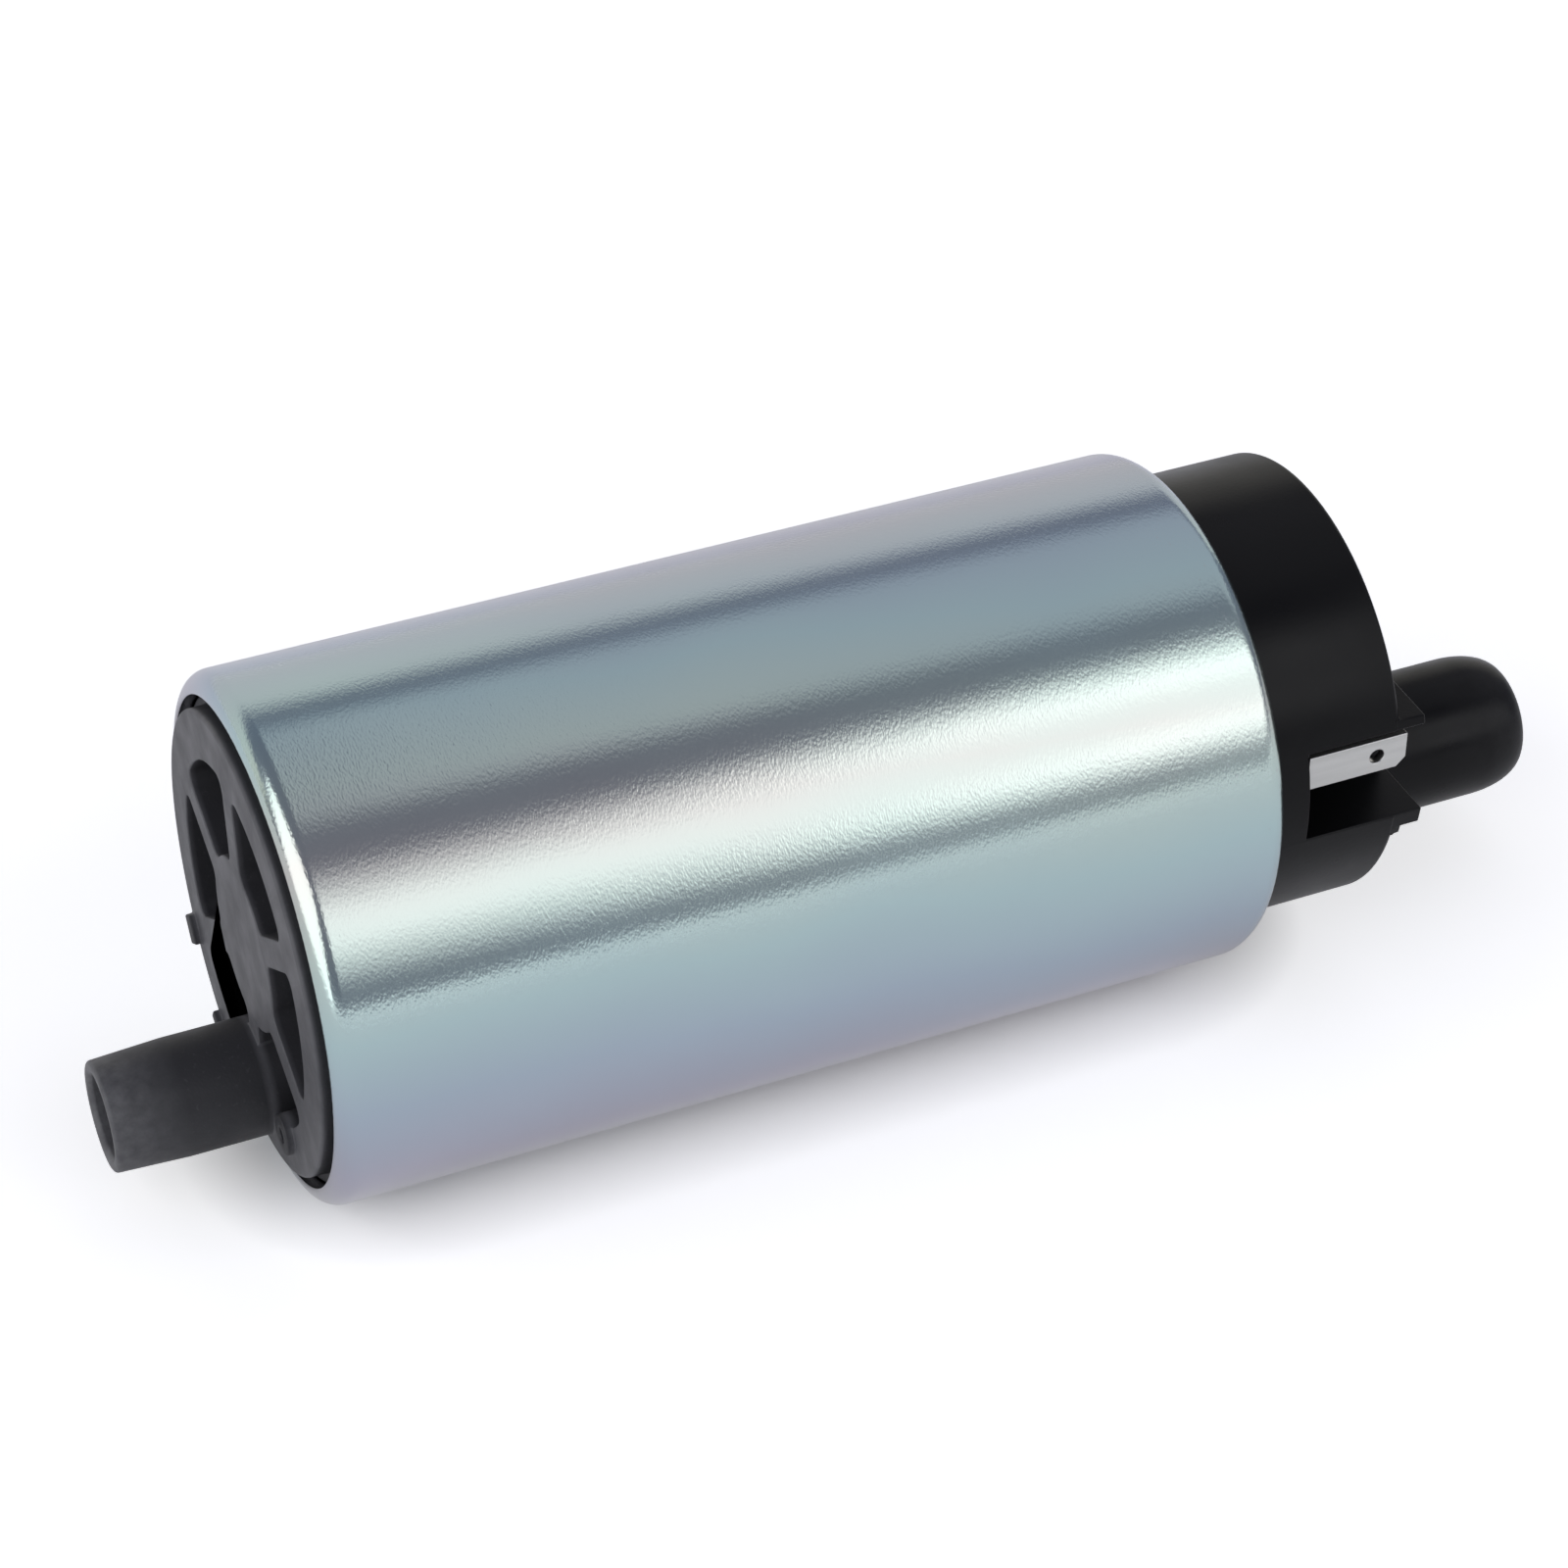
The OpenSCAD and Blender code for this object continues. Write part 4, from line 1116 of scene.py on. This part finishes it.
@dataclass
class OutletCover:
    """The black cover with its terminal pockets, valve chambers and the outlet nipple."""

    start: float = 19.5
    end: float = 45.6
    out: float = 16.58
    room: float = 14.88
    room_end: float = 42.6
    room_start: float = 27.0
    seat: float = 17.95
    skirt_inside: float = 16.45
    groove: float = 16.65
    groove_low: float = 31.15
    groove_high: float = 32.85
    stack: float = 34.2
    chamfer: float = 0.7
    edge: float = 0.45
    nipple_drop: float = 9.74
    nipple: float = 5.35
    bore: float = 2.95
    tip: float = 64.5
    lead_len: float = 3.95
    lead_in: float = 1.64
    check: float = 3.7
    check_start: float = 38.0
    check_end: float = 52.0
    relief_rise: float = 10.0
    relief_boss: float = 3.7
    relief_start: float = 35.0
    relief_profile: tuple[Point, ...] = (
        (0, 34), (1.2, 34), (1.2, 36.5), (2.5, 36.5), (2.5, 45.45), (2.65, 45.62), (2.65, 47), (0, 47),
    )
    pocket_low: Place = (10.6, -1.9, 38.1)
    pocket_high: Place = (19.0, 5.15, 48.6)
    pocket_wall: float = 1.2
    guard_rim: float = 18.0
    guard_top: float = 0.7
    guard_low: float = 1.4
    guard_step: float = 0.7
    guard_end: float = 47.55
    step_end: float = 46.1
    slot_low: Place = (14.98, 2.01, 35.58)
    slot_high: Place = (15.82, 4.85, 40.0)
    foot_slot: Point = (13.88, 36.42)
    post_off: float = 7.4
    post: float = 2.1
    post_start: float = 36.0
    pin: float = 1.1
    pin_start: float = 34.6

    def build(self) -> None:
        """Turn the cover, add its pockets, guards, bosses and nipple, and bore it."""
        cover = self.body()
        boss_end = self.room_end + 0.5
        boss = Workpiece.rod(
            "relief_boss", self.relief_boss, self.relief_start, boss_end, at=(0, self.relief_rise)
        )
        walls, guard, pocket, slot = self.pocket_walls(), self.guard(), self.pocket(), self.blade_slot()
        cover.join(Joint.ADD, walls.copy("pocket_walls_front", mirror=True), walls)
        cover.join(Joint.ADD, guard.copy("guard_front", mirror=True), guard)
        cover.join(Joint.ADD, *[self.brush_post(side, boss_end) for side in (Side.REAR, Side.FRONT)], boss)
        cover.join(Joint.ADD, self.nipple_body())
        cover.join(Joint.CUT, pocket.copy("pocket_front", mirror=True), pocket)
        cover.join(Joint.CUT, slot.copy("blade_slot_front", mirror=True), slot, *self.bores()).ease(0.12)
        cover.finish("outlet_cover", "black_plastic", BLACK_MOULDING)

    def body(self) -> Workpiece:
        """The cover's skirt and cup, with the groove of its seal."""
        room_corner = (self.room - 0.5, self.room_end - 0.5)
        profile = [
            (0, self.room_end),
            *arc(room_corner, 0.5, 90, 0, 4),
            (self.room, self.room_start),
            (self.skirt_inside, self.room_start),
            (self.skirt_inside, self.start),
            (self.seat, self.start),
            (self.seat, self.groove_low),
            (self.groove, self.groove_low),
            (self.groove, self.groove_high),
            (self.seat, self.groove_high),
            (self.seat, self.stack - self.chamfer),
            (self.seat - self.chamfer, self.stack),
            (self.out, self.stack),
            *arc((self.out - self.edge, self.end - self.edge), self.edge, 0, 90, 6),
            (0, self.end),
        ]
        return Workpiece.turned("outlet_cover_moulding", profile, 192)

    def pocket_walls(self) -> Workpiece:
        """The rear pocket's walls inside the cover's room."""
        wall, (x, y0, z), (rim, y1, _) = self.pocket_wall, self.pocket_low, self.pocket_high
        low, high = (x - wall, y0 - wall, z - wall), (rim, y1 + wall, self.room_end + 0.5)
        block = Workpiece.block("pocket_walls_rear", low, high)
        return block.join(Joint.KEEP, Workpiece.rod("room", self.room + 0.6, z - 3, self.end, sides=192))

    def guard(self) -> Workpiece:
        """The rear pocket's guards, which stand out of the end face above, below and beside it."""
        (x, y0, _), (_, y1, _) = self.pocket_low, self.pocket_high
        root, rim, end = self.end - 1, self.guard_rim, self.guard_end
        low, top = y0 - self.guard_low, y1 + self.guard_top
        guard = Workpiece.block("guard_rear", (x - self.pocket_wall, low, root), (rim, top, end))
        gap = Workpiece.block("guard_gap", (x, y0, root - 1), (rim + 1, y1, end + 1))
        guard.join(Joint.CUT, gap)
        step_low, step_high = (x, low - self.guard_step, root), (rim, low + 0.2, self.step_end)
        guard.join(Joint.ADD, Workpiece.block("guard_step", step_low, step_high))
        rim_rod = Workpiece.rod("guard_rim", self.out - 0.05, root - 1, end + 1, sides=192)
        return guard.join(Joint.KEEP, rim_rod)

    def pocket(self) -> Workpiece:
        """The cutter of the rear terminal's pocket."""
        cutter = Workpiece.block("pocket_rear", self.pocket_low, self.pocket_high)
        cutter.pick("EDGE", lambda middle, along: middle.x < 12 and middle.z < 48)
        cutter.bevel(0.3, 3)
        return cutter

    def brush_post(self, side: Side, end: float) -> Workpiece:
        """The post behind a brush spring, with its pin.

        Args:
            side: the brush's side.
            end: the station that the post reaches in the cover's floor.

        Returns:
            The post.
        """
        edge = 0.25
        profile = [
            (0, self.pin_start),
            *arc((self.pin - edge, self.pin_start + edge), edge, 270, 360, 3),
            (self.pin, self.post_start),
            (self.post, self.post_start),
            (self.post, end),
            (0, end),
        ]
        return Workpiece.turned(f"post_{side.word}", profile, 48).put((side.value * self.post_off, 0, 0))

    def nipple_body(self) -> Workpiece:
        """The outlet nipple with its curved lead-in, and the check valve's boss behind it."""
        straight_end = self.tip - self.lead_len
        turns = [math.radians(7.5 * i) for i in range(13)]
        lead = [
            (self.nipple - self.lead_in * (1 - math.cos(t)), straight_end + self.lead_len * math.sin(t))
            for t in turns
        ]
        profile = [(0, self.check_start), (self.nipple, self.check_start), *lead, (0, self.tip)]
        return Workpiece.turned("outlet_nipple", profile, 120).put((0, -self.nipple_drop, 0))

    def blade_slot(self) -> Workpiece:
        """The cutter of the slot that the rear terminal sits in."""
        (_, y0, z0), (x1, y1, _), (foot, foot_top) = self.slot_low, self.slot_high, self.foot_slot
        slot = Workpiece.block("blade_slot_rear", self.slot_low, self.slot_high)
        return slot.join(Joint.ADD, Workpiece.block("foot_slot", (foot, y0, z0), (x1, y1, foot_top)))

    def bores(self) -> list[Workpiece]:
        """Cutters of the valve chambers and of the outlet bore."""
        mouth = self.bore + 0.35
        check = [
            (0, self.check_start - 1),
            (self.check, self.check_start - 1),
            (self.check, self.check_end),
            (self.bore, self.check_end),
            (self.bore, self.tip - 0.3),
            (mouth, self.tip + 0.02),
            (mouth, self.tip + 1),
            (0, self.tip + 1),
        ]
        return [
            Workpiece.turned("check_chamber", check, 72).put((0, -self.nipple_drop, 0)),
            Workpiece.turned("relief_chamber", list(self.relief_profile), 60).put((0, self.relief_rise, 0)),
        ]


@dataclass
class Terminals:
    """The two tinned blades in their pockets."""

    low: Place = (15.0, 2.03, 35.6)
    high: Place = (15.8, 4.83, 46.1)
    foot: float = 12.18
    foot_t: float = 0.8
    hole: float = 0.575
    hole_at: Place = (15.4, 3.43, 43.7)
    corner: float = 0.707

    def build(self) -> None:
        """Shape the rear blade and mirror it to the front."""
        rear = self.blade()
        front = rear.copy("terminal_blade_front", mirror=True)
        for side, blade in ((Side.REAR, rear), (Side.FRONT, front)):
            blade.finish(f"terminal_{side.word}", "tinned_brass", TINNED_BRASS)

    def blade(self) -> Workpiece:
        """The rear blade: its foot drawn out of the root, a cut corner and the detent hole."""
        blade = Workpiece.block("terminal_blade_rear", self.low, self.high)
        foot_end = self.low[2] + self.foot_t
        blade.take(edit=True)
        bpy.ops.mesh.select_all(action="SELECT")
        bpy.ops.mesh.bisect(plane_co=(0, 0, foot_end), plane_no=(0, 0, 1))
        blade.pick("FACE", lambda middle, normal: normal.x < -0.9 and middle.z < foot_end)
        reach = (self.foot - self.low[0], 0, 0)
        bpy.ops.mesh.extrude_region_move(TRANSFORM_OT_translate={"value": reach})
        y, z = self.low[1], self.high[2]
        blade.pick("EDGE", lambda middle, along: abs(middle.y - y) + abs(middle.z - z) < 1e-3)
        blade.bevel(self.corner, 1)
        hole = Workpiece.rod("detent_hole", self.hole, -2, 2, sides=48)
        hole.obj.data.transform(Matrix.Translation(self.hole_at) @ Matrix.Rotation(math.pi / 2, 4, "Y"))
        return blade.join(Joint.CUT, hole).ease(0.09)


@dataclass
class BrushGear:
    """The springs behind the brushes and their flexible copper leads."""

    off: float = 7.4
    coil: float = 1.55
    wire: float = 0.2
    seat: float = 0.25
    start: float = 29.7
    post: float = 36.0
    travel: float = 2.5
    turns: int = 6
    strand: float = 0.18
    lay: float = 0.315
    strands: int = 6
    route: tuple[Place, ...] = ((9.62, 0, 28.6), (12.82, 0, 28.8), (13.704, 2.0, 29.3), (12.804, 4.2, 29.3))

    def build(self) -> None:
        """Wind one spring and twist one lead, and make each for both sides."""
        low, high = self.start + self.seat, self.post - self.seat
        spring = Workpiece.coil("brush_coil_rear", self.coil, self.wire, low, high, self.turns)
        spring.put((self.off, 0, 0))
        lead = Workpiece.wires("brush_cord_rear", self.strand_paths(), self.strand, sides=1)
        springs = {Side.REAR: spring, Side.FRONT: spring.copy("brush_coil_front", by=(-2 * self.off, 0, 0))}
        leads = {Side.REAR: lead, Side.FRONT: lead.copy("brush_cord_front", mirror=True)}
        for side in Side:
            node = f"brush_spring_{side.word}"
            piece = springs[side].finish(node, "spring_steel", SPRING_STEEL, flat=False)
            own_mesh(piece)
            node = f"brush_lead_{side.word}"
            piece = leads[side].finish(node, "bare_copper", BRAIDED_COPPER, body=None, flat=False)
            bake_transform(piece)

    def route_point(self, share: float) -> Vector:
        """A point of the lead's smooth route.

        Args:
            share: how far along it, from 0 to 1.

        Returns:
            The point.
        """
        a, b, c, d = (Vector(p) for p in self.route)
        back = 1 - share
        return a * back**3 + b * 3 * share * back**2 + c * 3 * share**2 * back + d * share**3

    def strand_paths(self) -> list[list[Place]]:
        """Routes of the strands: one in the middle, the others twisted round it."""
        steps, twists = 60, 2.5
        middles = [self.route_point(i / steps) for i in range(steps + 1)]
        paths = [[tuple(p) for p in middles]]
        for strand in range(self.strands):
            path = []
            for i, middle in enumerate(middles):
                along = (middles[min(i + 1, steps)] - middles[max(i - 1, 0)]).normalized()
                side = along.cross(Vector((0, 0, 1))).normalized()
                up = side.cross(along)
                turn = 2 * math.pi * (strand / self.strands + twists * i / steps)
                path.append(tuple(middle + self.lay * (math.cos(turn) * side + math.sin(turn) * up)))
            paths.append(path)
        return paths


@dataclass
class Chokes:
    """The enamelled wire wound on the ferrite rods."""

    across: float = 10.404
    height: float = 7.0
    radius: float = 1.8
    wire: float = 0.33
    start: float = 29.5
    end: float = 36.0
    turns: int = 7
    inner_leg: Place = (12.604, 4.75, 29.45)
    outer_leg: Place = (11.78, 4.53, 36.0)

    def build(self) -> None:
        """Wind the rear choke and mirror it to the front."""
        rear = Workpiece.wires("choke_winding_rear", [self.path()], self.wire, sides=3)
        front = rear.copy("choke_winding_front", mirror=True)
        for side, piece in ((Side.REAR, rear), (Side.FRONT, front)):
            piece.finish(f"choke_coil_{side.word}", "enamelled_copper", ENAMELLED_COPPER, flat=False)

    def path(self) -> list[Place]:
        """Points of the wire: its inner leg, the turns and its outer leg."""
        per_turn, first = 30, 225
        count = self.turns * per_turn
        turns = []
        for i in range(count + 1):
            angle = math.radians(first - 360 * i / per_turn)
            x = self.across - self.radius * math.cos(angle)
            y = self.height + self.radius * math.sin(angle)
            turns.append((x, y, self.start + (self.end - self.start) * i / count))
        return [self.inner_leg, *turns, self.outer_leg]


@dataclass
class ValveSpring:
    """The coil spring of a valve, from the station that the valve bears on to its fixed end."""

    word: str
    radius: float
    start: float
    end: float
    rise: float
    travel: float
    turns: int
    wire: float = 0.2
    seat: float = 0.25

    def build(self) -> None:
        """Wind the spring and put it in place."""
        low, high = self.start + self.seat, self.end - self.seat
        coil = Workpiece.coil(f"{self.word}_valve_coil", self.radius, self.wire, low, high, self.turns)
        coil.put((0, self.rise, 0))
        piece = coil.finish(f"{self.word}_spring", "spring_steel", SPRING_STEEL, flat=False)
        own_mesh(piece)


# ---------------------------------------------------------------- studio


def hang_lamp(name: str, size: Point, radiance: float, tint: str, placed: Matrix) -> None:
    """Hang an area lamp that the camera doesn't see.

    Args:
        name: its name.
        size: its length and height, in metres.
        radiance: how bright it looks, where 1 is white.
        tint: its colour.
        placed: its place and turn.
    """
    data = bpy.data.lights.new(name, "AREA")
    data.shape = "RECTANGLE"
    data.size, data.size_y = size
    data.energy = radiance * math.pi * size[0] * size[1]
    data.color = rgb(tint)[:3]
    lamp = bpy.data.objects.new(name, data)
    bpy.context.scene.collection.objects.link(lamp)
    lamp.matrix_world = placed
    lamp.visible_camera = False


@dataclass(frozen=True)
class Softbox:
    """A long softbox parallel to the pump, with edges that fade in steps."""

    name: str
    angle: float
    half: float
    radiance: float
    fade: float = 0.0
    layers: int = 1
    distance: float = 1.1
    length: float = 4.0
    middle: float = 0.12
    tint: str = "ffffff"

    def build(self) -> None:
        """Add its layers, aimed at the pump's axis, each a little wider than the one before."""
        turn = math.radians(self.angle)
        out, across = Vector((0, math.cos(turn), math.sin(turn))), Vector((1, 0, 0))
        turned = Matrix((across, out.cross(across), out)).transposed().to_4x4()
        for layer in range(self.layers):
            share = layer / max(self.layers - 1, 1)
            distance = self.distance + 0.01 * layer
            height = 2 * distance * math.tan(math.radians(self.half + self.fade * share))
            placed = Matrix.Translation(out * distance + across * self.middle) @ turned
            hang_lamp(self.name, (self.length, height), self.radiance / self.layers, self.tint, placed)
        LOG.info("softbox %s at %.0f degrees, %d layers", self.name, self.angle, self.layers)


@dataclass(frozen=True)
class Panel:
    """A square softbox that lights one end of the pump."""

    name: str
    towards: Place
    size: float
    radiance: float
    distance: float = 1.3

    def build(self) -> None:
        """Add the panel, aimed at the origin."""
        out = Vector(self.towards).normalized()
        turned = out.to_track_quat("Z", "Y").to_matrix().to_4x4()
        placed = Matrix.Translation(out * self.distance) @ turned
        hang_lamp(self.name, (self.size, self.size), self.radiance, "ffffff", placed)
        LOG.info("panel %s", self.name)


@dataclass
class Studio:
    """White paper floor, white surroundings, softboxes and the camera."""

    floor_z: float = -19.0
    floor_white: str = "f4f4f4"
    pump_middle: float = 2.0
    pump_half: float = 28.0
    # Distances from the pump's line over which the painted shadow band fades out, in millimetres
    shade: Point = (7.0, 16.0)
    world_level: float = 0.25
    world_tint: str = "e0e4ff"
    white_lift: float = 0.52
    mirror_lift: float = 0.13
    camera_back: Place = (-0.31184, -0.72821, 0.61029)
    camera_at: Place = (-88.60, -217.53, 183.96)
    camera_lens: float = 96.246
    lamps: tuple[Softbox | Panel, ...] = (
        Softbox("front_softbox", 143, 7, 1.15, fade=17, layers=6, length=2.2, middle=1.02),
        Softbox("front_right_softbox", 143, 15, 1.3, fade=10, layers=3, length=2.0, middle=1.4),
        Softbox("top_softbox", 74, 23, 0.3, fade=4, layers=2, length=2.0, middle=1.1),
        Softbox("rear_softbox", 14, 20, 0.54, fade=5, layers=2, tint="fffae6"),
        Softbox("low_softbox", 180, 3, 0.8),
        Panel("inlet_panel", (-0.92, -0.22, 0.42), 1.6, 1.4),
    )

    def build(self) -> None:
        """Set up everything round the pump."""
        scene = bpy.context.scene
        scene.view_settings.view_transform = "Standard"
        self.floor()
        self.world(scene)
        for lamp in self.lamps:
            lamp.build()
        self.camera(scene)

    def floor(self) -> None:
        """Lay the paper under the pump."""
        Workpiece.clear()
        bpy.ops.mesh.primitive_plane_add(size=2.8, location=(0, 0, self.floor_z * MM))
        paper = bpy.context.object
        paper.name = "paper_floor"
        material = bpy.data.materials.new("white_background_paper")
        add = node_adder(material)
        # White paper: dull, and lifted to white for the camera, except in a painted shadow band along where
        # the pump lies, where the paper stays unlifted and darker
        axes = add("SeparateXYZ", {0: add("TexCoord", out="Object")}).node.outputs
        from_middle = add("Math", {"operation": "SUBTRACT", 0: axes[0], 1: self.pump_middle * MM})
        along = add("Math", {"operation": "ABSOLUTE", 0: from_middle})
        past_end = add("Math", {"operation": "SUBTRACT", 0: along, 1: self.pump_half * MM})
        beyond = add("Math", {"operation": "MAXIMUM", 0: past_end, 1: 0.0})
        off = add("CombineXYZ", {0: beyond, 1: axes[1]})
        distance = add("VectorMath", {"operation": "LENGTH", 0: off}, out="Value")
        ends = {"From Min": self.shade[0] * MM, "From Max": self.shade[1] * MM}
        white = add("MapRange", {0: distance, **ends, "To Max": self.white_lift})
        seen = add("LightPath").node.outputs
        mirrored = add("Math", {"operation": "MULTIPLY", 0: seen["Is Glossy Ray"], 1: self.mirror_lift})
        lift = add("Math", {"operation": "MULTIPLY_ADD", 0: seen["Is Camera Ray"], 1: white, 2: mirrored})
        dull = add("BsdfDiffuse", {"Color": rgb(self.floor_white)})
        glow = add("Emission", {"Color": rgb("ffffff"), "Strength": lift})
        add("OutputMaterial", {"Surface": add("AddShader", {0: dull, 1: glow})})
        paper.data.materials.append(material)

    def world(self, scene: bpy.types.Scene) -> None:
        """Make the surroundings: white to the camera, dim to the object.

        Args:
            scene: the scene that gets the world.
        """
        scene.world = bpy.data.worlds.new("studio_room")
        add = node_adder(scene.world)
        seen = add("LightPath", out="Is Camera Ray")
        room = add("Background", {"Color": rgb(self.world_tint), "Strength": self.world_level})
        white = add("Background", {"Color": rgb("ffffff"), "Strength": 1.0})
        add("OutputWorld", {"Surface": add("MixShader", {0: seen, 1: room, 2: white})})

    def camera(self, scene: bpy.types.Scene) -> None:
        """Set the camera at the photograph's viewing angle.

        Args:
            scene: the scene that looks through it.
        """
        data = bpy.data.cameras.new("studio_camera")
        data.sensor_width = 36
        data.lens = self.camera_lens
        data.clip_start = 0.01
        data.clip_end = 50
        camera = bpy.data.objects.new("studio_camera", data)
        scene.collection.objects.link(camera)
        camera.location = Vector(self.camera_at) * MM
        camera.rotation_mode = "QUATERNION"
        camera.rotation_quaternion = (-Vector(self.camera_back)).to_track_quat("-Z", "Y")
        scene.camera = camera


def dress_nodes() -> None:
    """Give the CAD nodes that no piece stands for their finishes, by the slot each is made of."""
    for name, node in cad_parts.items():
        if node.hide_render:
            continue
        for slot in node.material_slots:
            slot.material = FINISHES[slot.material.name].material()
        LOG.info("%s keeps its CAD shape", name)


def main() -> None:
    """Build the pump and the studio, and report each piece."""
    logging.basicConfig(level=logging.INFO, format="%(name)s: %(message)s")
    check_spring = ValveSpring("check", radius=3.2, start=46.0, end=52.0, rise=-9.74, travel=2.0, turns=5)
    relief_spring = ValveSpring("relief", radius=1.45, start=39.627, end=44.0, rise=10.0, travel=1.5, turns=4)
    assemblies = (Shell(), InletCover(), OutletCover(), Terminals(), BrushGear(), Chokes())
    for assembly in (*assemblies, check_spring, relief_spring):
        assembly.build()
        LOG.info("%s done", type(assembly).__name__)
    dress_nodes()
    Studio().build()
    LOG.info("scene ready")


if __name__ == "__main__":
    main()
